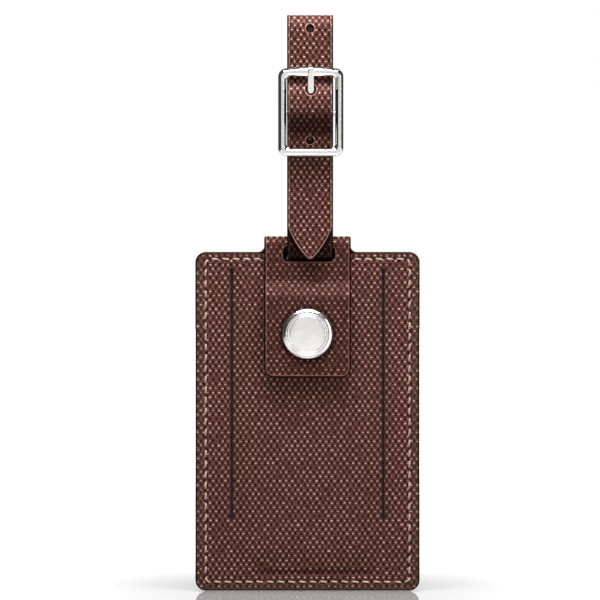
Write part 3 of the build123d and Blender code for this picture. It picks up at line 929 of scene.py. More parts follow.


# Painted shade on the strap: darker along the border crease, round the holes, under the hump inside the
# buckle and on the leg behind the tip
def strap_shade(x, s):
    border = 0.75 * ridge(strap_edge(x, s) - 1.0, 0.2)
    hole = 0.7 * ridge(hole_gap(x, s, OUTER / 2), 0.25)
    under_hump = 0.9 * smooth(strap_z(s), 139.5, 144.0) * smooth(154.0 - strap_z(s), 0, 8)
    behind_tip = 0.95 * smooth(s, leg_dark - 4, leg_dark) * smooth(leg_dark + 18 - s, 0, 3)
    return np.max([border, hole, under_hump, behind_tip], axis=0)


CLOSEST = 0.09  # rows nearer than this to a fixed row are left out


def course_rows(course, start, stop, step, turn, specials=()):
    """Rows along a course, closer together where it bends."""
    rows = []
    for (_, _, length, bend), end in zip(course.parts, course.ends):
        count = max(1, math.ceil(length / step), math.ceil(abs(length * bend) / turn))
        rows += list(end - length + length * np.arange(count) / count)
    fixed = sorted({round(v, 4) for v in specials if start <= v <= stop} | {start, stop})
    free = [r for r in rows if start < r < stop and min(abs(r - f) for f in fixed) > CLOSEST]
    return np.array(sorted(fixed + free))


tip_rows = [strap_course.length - (z - TIP_APEX) for z in tip_heights]


def strap_rows(offset, step, turn):
    """Rows that meet the strap's holes, its slot for the prong and its tip."""
    holes = [
        s + side * reach * share for _, s, _, reach in strap_holes(offset) for side in (-1, 1)
        for share in (0, 0.4, 0.75, 1)
    ]
    return course_rows(strap_course, 0.0, tip_s, step, turn, tip_rows + holes + list(ring_slot))


def strap_columns(step):
    edges = edge_steps(strap_high[0], side=-1) + edge_steps(strap_low[0])
    holes = [strap_middle + HOLE * k / 3 for k in range(-3, 4)]
    slot = [prong_x + side * half for side in (-1, 1) for half in (PRONG_HOLE[0], RING_SLOT_HALF)]
    return ladder(strap_low[0], strap_high[0], step, edges + holes + slot)


strap_leather = sheet(
    "strap_outer_leather", strap_course, strap_rows(OUTER / 2, ROW / 4, 0.16),
    strap_columns(FINE_X), strap_top, level(0.01),
    lambda x, s: np.minimum(strap_edge(x, s), hole_gap(x, s, OUTER / 2)), strap_knots, strap_keep,
    strap_holes(OUTER / 2), shade=strap_shade, shift=strap_middle,
)
strap_lining = sheet(
    "strap_inner_leather", strap_course, strap_rows(-INNER / 2, 1.2, 0.14), strap_columns(1.2),
    lambda x, s: INNER - 0.01 - roll_off(np.minimum(strap_edge(x, s), 9), 0.2), level(0.0),
    lambda x, s: np.minimum(strap_edge(x, s), hole_gap(x, s, -INNER / 2)), strap_knots, strap_keep,
    strap_holes(-INNER / 2), side=-1,
)


# Layers inside the tag and the rear pocket --------------------------------------------------

front_lining = plate("front_lining_layer", "front_lining", CORNER, below_notch, outline=tag_edge)
board = plate("board_core", "stiffener_board", CORNER, below_notch, outline=tag_edge, soft=0.3)
flap_facing = plate("flap_facing", "flap_lining", 2.0, None, [(0, snap_z, 1.65, 1.65)], 1.0)

POCKET_CORNER = 2.5
POCKET_SEAM = 1.1
GRIP = 5.5
WINDOW_HALF = (22.0, 37.0)
WINDOW_CORNER = 3.0
pocket_half = 0.5 * (pocket_high[0] - pocket_low[0])
pocket_tall = pocket_high[2] - pocket_low[2]
pocket_middle = 0.5 * pocket_tall
spacer_low, spacer_high = node_box("pocket_spacer")
_, film_high = node_box("clear_window")
card_low, card_high = node_box("address_card")
cavity_half = 0.5 * (card_high[2] - card_low[2]) + 0.25
grip_side = pocket_high[0]


def pocket_course(y):
    return upright(y, pocket_low[2], pocket_high[2])


def pocket_side(s, side):
    """Half width of the pocket at one side, with the finger grip at the open side."""
    half = pocket_half - round_corner(min(s, pocket_tall - s), POCKET_CORNER)
    if side > 0 and abs(s - pocket_middle) < GRIP:
        half = pocket_half - math.sqrt(GRIP**2 - (s - pocket_middle) ** 2)
    return half


def pocket_edge(x, s):
    inside = -rounded_box(x, s, (0, pocket_middle), (pocket_half, pocket_middle), POCKET_CORNER)
    grip = np.maximum(np.hypot(x - grip_side, s - pocket_middle) - GRIP, 0)
    return np.minimum(inside, grip)


def window_gap(x, s):
    return np.maximum(rounded_box(x, s, (0, pocket_middle), WINDOW_HALF, WINDOW_CORNER), 0)


def pocket_seam_distance(x, s):
    half = (pocket_half - POCKET_SEAM, pocket_middle - POCKET_SEAM)
    line = np.abs(rounded_box(x, s, (0, pocket_middle), half, SEAM_CORNER))
    open_side = smooth(x, 20, 26) * smooth(cavity_half - np.abs(s - pocket_middle), -0.3, 0.3)
    return line + 5 * open_side


def pocket_knots(s):
    window_inset = 0.0
    inside = WINDOW_HALF[1] - abs(s - pocket_middle)
    if inside > -0.001:
        window_inset = round_corner(inside, WINDOW_CORNER)
    pairs = [(0, 0)]
    for side in (-1, 1):
        pairs.append((side * WINDOW_HALF[0], side * (WINDOW_HALF[0] - window_inset)))
        pairs.append((side * pocket_half, side * pocket_side(s, side)))
    return pairs


def film_knots(s):
    reach = pocket_half - GRIP - 1
    ends = [(side * pocket_half, side * pocket_side(s, side)) for side in (-1, 1)]
    return ends + [(-reach, -reach), (reach, reach)]


def pocket_keep(x, s):
    return (np.abs(x) > WINDOW_HALF[0]) | (np.abs(s - pocket_middle) > WINDOW_HALF[1])


def pocket_top(x, s):
    edge, gap, seam = pocket_edge(x, s), window_gap(x, s), pocket_seam_distance(x, s)
    rim = np.minimum(edge, gap)
    pressed = smooth(edge, 0.1, 1.2) * smooth(gap, 0.5, 1.4) * smooth(seam, 0.2, 0.8)
    height = embossed(x, s, pressed, bare=0.15)
    height += seam_marks(seam) - roll_off(rim, 0.36) - 0.1 * ridge(gap - 0.95, 0.2)
    return height


# Painted shade on the pocket frame: darker in the seam groove and in the crease round the window
def pocket_shade(x, s):
    border = 0.45 * ridge(window_gap(x, s) - 0.95, 0.22)
    return np.maximum(0.55 * ridge(pocket_seam_distance(x, s), 0.35), border)


window_rows = [
    pocket_middle + side * (WINDOW_HALF[1] - gap) for side in (-1, 1)
    for gap in [WINDOW_CORNER * (1 - math.cos(math.pi / 2 * k / 8)) for k in range(9)]
    + [-0.06, -0.18, -0.4]
]
grip_rows = [pocket_middle + GRIP * math.sin(math.pi / 2 * k / 14) for k in range(-14, 15)]
corner_rows = arc_steps(0, POCKET_CORNER, 1, 8) + arc_steps(pocket_tall, POCKET_CORNER, -1, 8)
pocket_frame = sheet(
    "pocket_frame_leather", pocket_course(pocket_high[1]),
    ladder(0.0, pocket_tall, FINE_S, window_rows + grip_rows + corner_rows),
    ladder(
        -pocket_half, pocket_half, FINE_X, mirrored(edge_steps(pocket_half, side=-1))
        + mirrored([WINDOW_HALF[0] + gap for gap in (0, 0.06, 0.18, 0.4)]),
    ),
    pocket_top, level(-(pocket_high[1] - pocket_low[1]) + 0.02),
    lambda x, s: np.minimum(pocket_edge(x, s), window_gap(x, s)), pocket_knots, pocket_keep,
    shade=pocket_shade,
)
film = sheet(
    "window_film", pocket_course(film_high[1]), ladder(0.0, pocket_tall, 2.0, grip_rows + corner_rows),
    ladder(-pocket_half + 0.05, pocket_half - 0.05, 2.0),
    lambda x, s: -0.03 - 0.02 * (1 + wander(x, s, 14, 8)) / 2,
    lambda x, s: -0.21 - 0.02 * (1 + wander(x, s, 14, 8)) / 2, pocket_edge, film_knots,
)


def spacer_keep(x, s):
    return (x < card_low[0] - 0.25) | (np.abs(s - pocket_middle) > cavity_half)


spacer = sheet(
    "pocket_spacer_strip", pocket_course(spacer_high[1]),
    ladder(0.0, pocket_tall, 3.0, corner_rows + [pocket_middle + k * cavity_half for k in (-1, 1)]),
    ladder(-pocket_half, pocket_half, 3.0, [card_low[0] - 0.25]),
    lambda x, s: np.full_like(x, -0.005) - roll_off(pocket_edge(x, s), 0.1),
    level(-(spacer_high[1] - spacer_low[1]) + 0.01), pocket_edge,
    lambda s: [(k * pocket_half, k * pocket_side(s, k)) for k in (-1, 1)], spacer_keep,
)
card = plate("address_card_blank", "address_card", 2.0, step=3.0, soft=0.06)


# Stitches -----------------------------------------------------------------------------------


def seam_path(half, low, high, corner, start, stop, turn=-1):
    """Rounded seam from start to stop, clockwise when turn is -1, as (n, 2) of X and Z."""
    signs = ((1, 1), (1, -1), (-1, -1), (-1, 1)) if turn < 0 else ((1, 1), (-1, 1), (-1, -1), (1, -1))
    points = []
    for index, (sign_x, sign_z) in enumerate(signs):
        first = (90 if turn < 0 else 0) + turn * 90 * index
        centre = (sign_x * (half - corner), (high if sign_z > 0 else low) - sign_z * corner)
        for k in range(7):
            angle = math.radians(first + turn * 15 * k)
            points.append((centre[0] + corner * math.cos(angle), centre[1] + corner * math.sin(angle)))
    return np.array([start] + points + [stop])


def sewn(name, path, y, facing, lift):
    """Stitches along a flat path at depth y, facing the front (-1) or the rear (1)."""
    fine = [path[0]]
    for a, b in zip(path, path[1:]):
        count = max(1, int(np.linalg.norm(b - a) / 0.4))
        fine += [a + (b - a) * (k + 1) / count for k in range(count)]
    fine = np.array(fine)
    line = np.column_stack([fine[:, 0], np.full(len(fine), y), fine[:, 1]])
    normals = np.tile([0.0, facing, 0.0], (len(fine), 1))
    return stitches(name, line, normals, lift)


seam_half, seam_top = HALF - SEAM_SIDE, TALL - SEAM_HIGH
front_seam_path = seam_path(
    seam_half, SEAM_LOW, seam_top, SEAM_CORNER, (NECK_HALF + 0.5, seam_top),
    (-NECK_HALF - 0.5, seam_top)
)
front_seam = sewn("front_seam_stitches", front_seam_path, FRONT, -1, 0.02)
back_seam_path = seam_path(
    seam_half, SEAM_LOW, seam_top, SEAM_CORNER, (strap_middle + strap_half + 0.9, seam_top),
    (strap_middle - strap_half - 0.9, seam_top),
)
back_seam = sewn("back_seam_stitches", back_seam_path, REAR, 1, 0.02)
pocket_line = pocket_half - POCKET_SEAM
pocket_centre_z = pocket_low[2] + pocket_middle
pocket_seam_path = seam_path(
    pocket_line, pocket_low[2] + POCKET_SEAM, pocket_high[2] - POCKET_SEAM, SEAM_CORNER,
    (pocket_line, pocket_centre_z + cavity_half + 0.4),
    (pocket_line, pocket_centre_z - cavity_half - 0.4), turn=1,
)
pocket_seam = sewn("pocket_seam_stitches", pocket_seam_path, pocket_high[1], 1, 0.02)


def strap_seam(name, offset):
    """Stitches on the strap's folded end, behind the buckle bar."""
    s = np.linspace(0.25, 3.95, 24)
    spots, normals = strap_course.at(s)
    line = np.column_stack([np.full(len(s), strap_middle + offset), spots + normals * OUTER])
    return stitches(name, line, np.column_stack([np.zeros(len(s)), normals]), 0.02, 1.85)


STRAP_SEAM = 5.2
strap_seams = [
    strap_seam("strap_stitches_left", -STRAP_SEAM), strap_seam("strap_stitches_right", STRAP_SEAM),
]


# Metal parts --------------------------------------------------------------------------------


def measured_from(depth, *points):
    """Profile points (depth, radius) whose depths are measured from one face."""
    return [(depth + step, radius) for step, radius in points]


snap_centre = (0.0, snap_z)
cap_radius = 0.5 * (cap_high[0] - cap_low[0])

# The cap: turned rings on a domed face, a rolled rim and the hollow back
cap_face = measured_from(
    cap_low[1], (0, 0), (0.02, 2.6), (0.07, 4.4), (0.12, 5.55), (0.21, 5.63), (0.21, 5.71),
    (0.13, 5.79), (0.17, 6.35), (0.27, 6.43), (0.27, 6.51), (0.2, 6.59), (0.3, 6.95), (0.5, 7.3),
    (0.8, cap_radius - 0.27), (1.15, cap_radius - 0.04),
)
cap_rim = measured_from(
    flap_low[1], (-0.2, cap_radius), (-0.03, cap_radius - 0.08), (-0.03, cap_radius - 0.5)
)
cap_hollow = measured_from(cap_low[1], (0.9, 6.9), (0.6, 6.0), (0.6, 1.6))
cap_post = measured_from(cap_high[1], (0, 1.6), (0, 0))
cap_profile = cap_face + cap_rim + cap_hollow + cap_post
cap = lathe("snap_cap_shell", rounded_profile(cap_profile, 0.09), snap_centre, 160)

# The socket: a plate against the flap and a collar with the spring ring's groove inside
socket_low, socket_high = node_box("snap_socket")
groove_front, groove_back = -2.8, -2.45
socket_plate = measured_from(
    socket_low[1], (0, 1.65), (0, 5.4), (0.3, 5.4)
) + measured_from(socket_low[1] + 0.3, (0.06, 4.75), (0.12, 4.4))
socket_collar = measured_from(socket_high[1], (-0.1, 4.15), (0, 3.9), (0, 2.45), (-0.1, 2.36))
socket_groove = [(groove_back, 2.36), (groove_back, 2.8), (groove_front, 2.8), (groove_front, 2.36)]
socket_bore = measured_from(socket_low[1] + 0.3, (0, 2.36), (0, 1.65))
socket_profile = socket_plate + socket_collar + socket_groove + socket_bore
socket = lathe("snap_socket_ring", rounded_profile(socket_profile, 0.07), snap_centre, 96)

# The stud: a flange on the panel and a neck that swells into the head
stud_low, stud_high = node_box("snap_stud")
stud_flange = measured_from(
    stud_high[1], (0.05, 1.25), (0.05, 4.6), (-0.22, 4.6), (-0.36, 4.3), (-0.4, 3.2), (-0.4, 2.1),
    (-0.5, 1.76),
)
stud_head = [(-2.55, 1.75), (-2.7, 2.03), (-2.86, 2.03), (stud_low[1], 1.78), (stud_low[1], 1.25)]
stud_profile = stud_flange + stud_head
stud = lathe("snap_stud_head", rounded_profile(stud_profile, 0.08), snap_centre, 96)


def ring_outline(half, low, high, corner, bow, count=12):
    """Rounded rectangle with a bowed top, counter-clockwise, as (n, 2) of X and Z."""
    arcs = []
    for sign_x, sign_z, first in ((1, 1, 0), (-1, 1, 90), (-1, -1, 180), (1, -1, 270)):
        centre_z = high - corner if sign_z > 0 else low + corner
        angles = np.radians(first + 90 * np.arange(count + 1) / count)
        across = sign_x * (half - corner) + corner * np.cos(angles)
        arcs.append(np.column_stack([across, centre_z + corner * np.sin(angles)]))
    runs = []
    for arc, following in zip(arcs, arcs[1:] + arcs[:1]):
        share = np.arange(1, 16)[:, None] / 16
        runs += [arc, arc[-1] + (following[0] - arc[-1]) * share]
    points = np.concatenate(runs)
    upper = smooth(points[:, 1], 0.5 * (low + high), high - corner)
    points[:, 1] += bow * (1 - (points[:, 0] / half) ** 2) * upper
    return points


def close_rings(name, rings, capped=True):
    """Solid skin over a stack of rings with equal numbers of points."""
    count = len(rings[0])
    faces = []
    last = len(rings) if not capped else len(rings) - 1
    for k in range(last):
        near, far = k * count, (k + 1) % len(rings) * count
        for n in range(count):
            m = (n + 1) % count
            faces.append([near + n, near + m, far + m, far + n])
    if capped:
        faces.append(list(range(count)))
        faces.append([(len(rings) - 1) * count + n for n in range(count)][::-1])
    return make_object(name, np.concatenate(rings), faces, smooth_angle=40)


def join_pieces(name, pieces):
    """One object from several."""
    joined = bmesh.new()
    for piece in pieces:
        joined.from_mesh(piece.data)
    mesh = bpy.data.meshes.new(name)
    joined.to_mesh(mesh)
    joined.free()
    for piece in pieces:
        bpy.data.objects.remove(piece)
    whole = bpy.data.objects.new(name, mesh)
    bpy.context.scene.collection.objects.link(whole)
    return whole


BOW = 0.8
SIDE_BAR = 2.55
FRAME_BACK = -6.3
BEVEL = 0.85
frame_half = 0.5 * (frame_high[0] - frame_low[0])
inner_half = frame_half - SIDE_BAR
frame_front = frame_low[1]
outer_ring = ring_outline(frame_half, frame_low[2], frame_high[2] - BOW, 2.2, BOW)
inner_ring = ring_outline(inner_half, frame_low[2] + 2.6, frame_high[2] - BOW - 2.2, 1.2, 0)
bar_section = rounded_profile(
    [
        (0, FRAME_BACK - 0.3), (0, frame_front + BEVEL), (BEVEL, frame_front),
        (SIDE_BAR - BEVEL, frame_front), (SIDE_BAR, frame_front + BEVEL),
        (SIDE_BAR, FRAME_BACK - 0.3), (SIDE_BAR - 0.3, FRAME_BACK), (0.3, FRAME_BACK),
    ],
    0.16, 6,
)
frame_rings = []
for width, depth in bar_section:
    spot = outer_ring + (inner_ring - outer_ring) * (width / SIDE_BAR)
    frame_rings.append(np.column_stack([spot[:, 0] + bar[0], np.full(len(spot), depth), spot[:, 1]]))
frame_ring = close_rings("frame_ring", frame_rings, capped=False)


def lug(side):
    """Block behind one side of the frame that holds the end of the bar."""
    low_x, high_x = inner_half + 0.02, inner_half + 0.02 + SIDE_BAR - 0.3
    back, half, corner = frame_high[1], 2.2, 0.9
    front_y = FRAME_BACK - 0.4
    centre_y, half_y = 0.5 * (back + front_y), 0.5 * (back - front_y)
    rings = []
    bevel = ((0, 0.14), (0.05, 0.04), (0.16, 0))
    sections = [(low_x + gap, inset) for gap, inset in bevel]
    sections += [(high_x - gap, inset) for gap, inset in bevel[::-1]]
    for x, inset in sections:
        low, high = bar_z - half + inset, bar_z + half - inset
        outline = ring_outline(half_y - inset, low, high, corner, 0, 8)
        across = np.full(len(outline), bar[0] + side * x)
        rings.append(np.column_stack([across, outline[:, 0] + centre_y, outline[:, 1]]))
    return close_rings("lug", rings)


buckle = join_pieces("buckle_frame_chrome", [frame_ring, lug(-1), lug(1)])

PRONG_HALF = 1.1
PRONG_THICK = 0.7
PRONG_LENGTH = 14.6
ring_section = rounded_profile(
    [
        (-PRONG_HALF, bar_radius + 0.06), (-PRONG_HALF, 1.75), (PRONG_HALF, 1.75),
        (PRONG_HALF, bar_radius + 0.06),
    ],
    0.3, 5,
)
turn_rings = []
for across, reach in ring_section:
    angles = np.linspace(0, 2 * np.pi, 48, endpoint=False)
    turn_rings.append(
        np.column_stack(
            [
                np.full(48, bar[0] + across), bar_y + reach * np.cos(angles),
                bar_z + reach * np.sin(angles),
            ]
        )
    )
prong_ring = close_rings("prong_ring", turn_rings, capped=False)
# Distance from the bar, and shares of the prong's half width and half thickness
shank_sections = (
    (1.15, 0.96, 0.90), (2.2, 1.0, 1.0), (6.0, 0.98, 0.98), (10.0, 0.93, 0.95), (12.6, 0.88, 0.90),
    (13.6, 0.84, 0.84), (14.1, 0.76, 0.74), (14.4, 0.62, 0.58), (14.55, 0.44, 0.38),
    (PRONG_LENGTH, 0.2, 0.16),
)
SQUARENESS = 0.55  # 1 is an oval section, 0 a square one
shank_rings = []
for distance, wide, thick in shank_sections:
    angles = np.linspace(0, 2 * np.pi, 32, endpoint=False)
    across = PRONG_HALF * wide * np.sign(np.cos(angles)) * np.abs(np.cos(angles)) ** SQUARENESS
    depth = PRONG_THICK * thick * np.sign(np.sin(angles)) * np.abs(np.sin(angles)) ** SQUARENESS
    spot_y = bar_y - distance * math.sin(lean) - depth * cosine
    spot_z = bar_z + distance * cosine - depth * math.sin(lean)
    shank_rings.append(np.column_stack([bar[0] + across, spot_y, spot_z]))
prong = join_pieces("buckle_prong_chrome", [prong_ring, close_rings("shank", shank_rings)])


# Materials ----------------------------------------------------------------------------------


class Nodes:
    """A node tree under construction."""

    def __init__(self, tree):
        self.tree = tree

    def node(self, kind, **values):
        node = self.tree.nodes.new(kind)
        for key, value in values.items():
            setattr(node, key, value)
        return node

    def put(self, value, socket):
        if hasattr(value, "is_output"):
            self.tree.links.new(value, socket)
        else:
            socket.default_value = value

    def math(self, operation, a, b=0.0):
        node = self.node("ShaderNodeMath", operation=operation)
        self.put(a, node.inputs[0])
        self.put(b, node.inputs[1])
        return node.outputs[0]

    def times(self, a, b):
        return self.math("MULTIPLY", a, b)

    def plus(self, a, b):
        return self.math("ADD", a, b)

    def minus(self, a, b):
        return self.math("SUBTRACT", a, b)

    def step(self, value, low, high, start=0.0, stop=1.0):
        """Smooth step from start at low to stop at high."""
        node = self.node("ShaderNodeMapRange", interpolation_type="SMOOTHSTEP")
        ends = {"Value": value, "From Min": low, "From Max": high, "To Min": start, "To Max": stop}
        for name, end in ends.items():
            self.put(end, node.inputs[name])
        return node.outputs["Result"]

    def dot(self, a, direction):
        node = self.node("ShaderNodeVectorMath", operation="DOT_PRODUCT")
        self.put(a, node.inputs[0])
        self.put(direction, node.inputs[1])
        return node.outputs["Value"]


class Paint(Nodes):
    """A node material under construction."""

    def __init__(self, name):
        self.material = bpy.data.materials.new(name)
        self.material.use_nodes = True
        super().__init__(self.material.node_tree)
        self.shader = self.tree.nodes["Principled BSDF"]

    def mix(self, factor, a, b):
        node = self.node("ShaderNodeMix", data_type="RGBA")
        self.put(factor, node.inputs["Factor"])
        self.put(a, node.inputs[6])
        self.put(b, node.inputs[7])
        return node.outputs[2]

    def mark(self, name):
        return self.node("ShaderNodeAttribute", attribute_name=name)

    def split(self, vector):
        node = self.node("ShaderNodeSeparateXYZ")
        self.put(vector, node.inputs[0])
        return node.outputs

    def noise(self, vector, scale, detail=3.0, rough=0.55):
        node = self.node("ShaderNodeTexNoise")
        if vector is not None:
            self.put(vector, node.inputs["Vector"])
        node.inputs["Scale"].default_value = scale
        node.inputs["Detail"].default_value = detail
        node.inputs["Roughness"].default_value = rough
        return node.outputs["Fac"]

    def place(self):
        """Position in the object, in millimetres."""
        coordinates = self.node("ShaderNodeTexCoord").outputs["Object"]
        node = self.node("ShaderNodeVectorMath", operation="SCALE")
        self.put(coordinates, node.inputs[0])
        node.inputs["Scale"].default_value = 1 / MM
        return node.outputs[0]

    def bump(self, height, distance, strength=1.0):
        node = self.node("ShaderNodeBump")
        self.put(height, node.inputs["Height"])
        node.inputs["Distance"].default_value = distance * MM
        node.inputs["Strength"].default_value = strength
        self.put(node.outputs[0], self.shader.inputs["Normal"])

    def spread(self, value, low, high):
        """Value from 0..1 spread to low..high."""
        node = self.node("ShaderNodeMapRange")
        self.put(value, node.inputs["Value"])
        node.inputs["To Min"].default_value = low
        node.inputs["To Max"].default_value = high
        return node.outputs["Result"]

    def set(self, **values):
        names = {
            "colour": "Base Color", "rough": "Roughness", "metal": "Metallic", "alpha": "Alpha",
            "sheen": "Sheen Weight", "gloss": "Specular IOR Level", "tint": "Specular Tint",
        }
        for key, value in values.items():
            self.put(value, self.shader.inputs[names[key]])
        return self


def rgb(red, green, blue):
    """Linear colour from screen values 0..255."""
    return tuple(((v / 255 + 0.055) / 1.055) ** 2.4 for v in (red, green, blue)) + (1.0,)


EDGE_PAINT = rgb(22, 13, 12)
WARM = (1.0, 0.64, 0.56, 1.0)


def woven_leather(name, hollow, body, light, band=0.0, rim=0.0):
    """Coated leather embossed with a fine basket weave, with painted edges."""
    paint = Paint(name)
    grain = paint.mark("grain").outputs["Vector"]
    x, s, edge = paint.split(grain)
    across = paint.math("COSINE", paint.times(x, 2 * math.pi / PITCH))
    along = paint.math("COSINE", paint.times(s, math.pi / ROW))
    wave = paint.times(across, along)
    fine = paint.noise(grain, 2.6, 4.0, 0.6)
    broad = paint.noise(grain, 0.07, 2.0)
    dash = paint.noise(grain, 1.0, 1.0)
    vary = paint.spread(dash, -1.6, 3.3)
    narrow = paint.times(along, along)
    thin = paint.times(narrow, narrow)
    knot = paint.times(wave, paint.times(thin, thin))
    # Painted light in the weave: pits take the near-black hollow colour, a painted shade in the
    # recesses, and the gleam spots on the knots take the light colour, a painted highlight
    pit = paint.step(paint.plus(wave, paint.spread(fine, -0.7, 0.7)), 0.12, -0.5)
    gleam = paint.step(paint.times(knot, vary), 0.18, 0.75)
    colour = paint.mix(pit, body, hollow)
    colour = paint.mix(gleam, colour, light)
    raised = paint.plus(0.6, paint.times(gleam, 0.4))
    level = paint.minus(raised, paint.times(pit, 0.6))
    shine = paint.spread(fine, 0.62, 1.38)
    tone = paint.spread(broad, 0.82, 1.18)
    factor = paint.times(shine, tone)
    scale = paint.node("ShaderNodeVectorMath", operation="SCALE")
    paint.put(colour, scale.inputs[0])
    paint.put(factor, scale.inputs["Scale"])
    colour = scale.outputs[0]
    if band:
        near = paint.times(paint.step(edge, 2.9, 2.3), band)
        colour = paint.mix(near, colour, rgb(58, 46, 38))
    # rim: a painted highlight, a light line just inside the painted edge
    if rim:
        inner = paint.times(paint.step(edge, 0.86, 0.74), paint.step(edge, 0.5, 0.6))
        colour = paint.mix(paint.times(inner, rim), colour, light)
    # Painted shade: the painted_shade values darken the colour towards near black and take away gloss
    painted_shade = paint.mark("painted_shade").outputs["Fac"]
    colour = paint.mix(paint.times(painted_shade, 0.85), colour, rgb(26, 14, 12))
    worn = paint.plus(edge, paint.spread(fine, -0.08, 0.08))
    painted = paint.step(worn, 0.58, 0.34)
    colour = paint.mix(painted, colour, EDGE_PAINT)
    rough = paint.spread(level, 0.66, 0.27)
    rough = paint.plus(rough, paint.spread(fine, -0.08, 0.08))
    height = paint.plus(paint.times(fine, 0.5), paint.times(level, 0.6))
    paint.bump(height, 0.24)
    clean = paint.minus(1.0, paint.math("MAXIMUM", painted, painted_shade))
    gloss = paint.times(paint.spread(gleam, 0.24, 1.0), clean)
    paint.set(colour=colour, rough=rough, gloss=gloss, tint=WARM)
    return paint.material


def smooth_leather(name, colour, other, edge_colour=EDGE_PAINT):
    """Plain lining leather with pores and painted edges."""
    paint = Paint(name)
    grain = paint.mark("grain").outputs["Vector"]
    edge = paint.split(grain)[2]
    place = paint.place()
    fine = paint.noise(place, 2.2, 5.0, 0.65)
    broad = paint.noise(place, 0.13, 2.0)
    pores = paint.node("ShaderNodeTexVoronoi", feature="F1")
    paint.put(place, pores.inputs["Vector"])
    pores.inputs["Scale"].default_value = 1.6
    pit = paint.step(pores.outputs["Distance"], 0.02, 0.32)
    mixed = paint.mix(paint.spread(broad, 0.1, 0.9), colour, other)
    mixed = paint.mix(paint.spread(fine, 0.0, 0.5), mixed, (0.02, 0.012, 0.01, 1.0))
    painted = paint.step(edge, 0.3, 0.12)
    mixed = paint.mix(painted, mixed, edge_colour)
    height = paint.plus(paint.times(fine, 0.6), paint.times(pit, 0.5))
    paint.bump(height, 0.07)
    paint.set(colour=mixed, rough=paint.spread(fine, 0.48, 0.72), sheen=0.08)
    return paint.material


def thread_paint(name, light, dark):
    """Twisted waxed thread."""
    paint = Paint(name)
    place = paint.place()
    strands = paint.node("ShaderNodeTexWave", wave_type="BANDS", bands_direction="DIAGONAL")
    paint.put(place, strands.inputs["Vector"])
    strands.inputs["Scale"].default_value = 1.1
    strands.inputs["Distortion"].default_value = 1.2
    ply = strands.outputs["Fac"]
    fuzz = paint.noise(place, 5.0, 3.0, 0.6)
    tone = paint.noise(place, 0.25, 1.0)
    colour = paint.mix(ply, dark, light)
    colour = paint.mix(paint.spread(tone, 0.0, 0.35), colour, dark)
    paint.bump(paint.plus(ply, paint.times(fuzz, 0.5)), 0.05)
    paint.set(colour=colour, rough=paint.spread(fuzz, 0.5, 0.8), sheen=0.2)
    return paint.material


def metal_paint(name, colour, low, high, scratch=0.004):
    """Plated metal with faint handling marks."""
    paint = Paint(name)
    place = paint.place()
    haze = paint.noise(place, 0.35, 4.0, 0.6)
    marks = paint.noise(place, 6.0, 3.0, 0.7)
    tint = paint.mix(paint.spread(haze, 0.0, 0.25), colour, rgb(176, 172, 168))
    rough = paint.spread(paint.times(haze, marks), low, high)
    paint.bump(marks, scratch)
    paint.set(colour=tint, rough=rough, metal=1.0)
    return paint.material


def board_paint(name):
    """Pressed fibre board, painted with the edge of the stack."""
    paint = Paint(name)
    place = paint.place()
    fibre = paint.noise(place, 1.4, 6.0, 0.7)
    colour = paint.mix(fibre, rgb(44, 30, 26), rgb(28, 19, 17))
    paint.bump(fibre, 0.08)
    paint.set(colour=colour, rough=paint.spread(fibre, 0.5, 0.75))
    return paint.material


def card_paint(name):
    """Card stock with plain ruled lines."""
    paint = Paint(name)
    grain = paint.mark("grain").outputs["Vector"]
    x, s, _ = paint.split(grain)
    fibre = paint.noise(paint.place(), 1.8, 5.0, 0.65)
    colour = paint.mix(fibre, rgb(168, 150, 118), rgb(152, 135, 104))
    pace = paint.times(paint.minus(s, 16.0), math.pi / 11)
    near = paint.math("ABSOLUTE", paint.math("SINE", pace))
    rule = paint.step(near, 0.055, 0.03)
    inside = paint.step(paint.math("ABSOLUTE", x), 19.0, 18.7)
    upper = paint.step(paint.math("ABSOLUTE", paint.minus(s, 43.5)), 29.2, 28.9)
    rule = paint.times(rule, paint.times(inside, upper))
    colour = paint.mix(paint.times(rule, 0.75), colour, rgb(96, 84, 78))
    paint.bump(fibre, 0.02)
    paint.set(colour=colour, rough=paint.spread(fibre, 0.55, 0.75))
    return paint.material


def film_paint(name):
    """Clear plastic film."""
    paint = Paint(name)
    paint.set(colour=(0.86, 0.88, 0.88, 1.0), rough=0.08, gloss=0.6, alpha=0.07)
    return paint.material


panel_skin = woven_leather("woven_panel", rgb(26, 8, 6), rgb(80, 44, 38), rgb(182, 144, 131), 0.3)
# The flap's leather is a darker copy of the panel's leather: painted shade, as the flap faces a little
# away from the light
shaded_flap_skin = woven_leather("woven_flap_shaded", rgb(24, 6, 4), rgb(62, 29, 23), rgb(154, 108, 96), rim=0.3)
strap_skin = woven_leather("woven_strap", rgb(26, 8, 6), rgb(80, 43, 37), rgb(182, 144, 131), rim=0.4)
under_skin = smooth_leather("lining_leather", rgb(88, 58, 48), rgb(66, 43, 36))
layer_skin = smooth_leather("layer_leather", rgb(60, 40, 34), rgb(44, 29, 25))
thread = thread_paint("waxed_thread", rgb(205, 165, 148), rgb(128, 88, 76))
dark_board = board_paint("fibre_board")
chrome = metal_paint("polished_nickel", rgb(226, 224, 221), 0.04, 0.22)
satin = metal_paint("satin_nickel", rgb(232, 230, 228), 0.12, 0.4)
steel = metal_paint("spring_steel", rgb(190, 190, 192), 0.15, 0.4)
card_stock = card_paint("card_stock_ruled")
film_clear = film_paint("clear_film_sheet")


def dress(piece, body, nodes, slot, *materials):
    """Give a piece its materials, its body and the CAD nodes it stands for."""
    piece.data.materials.clear()
    for material in materials:
        piece.data.materials.append(material)
    if body:
        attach(piece, body)
    if nodes:
        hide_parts(*nodes)
    return piece


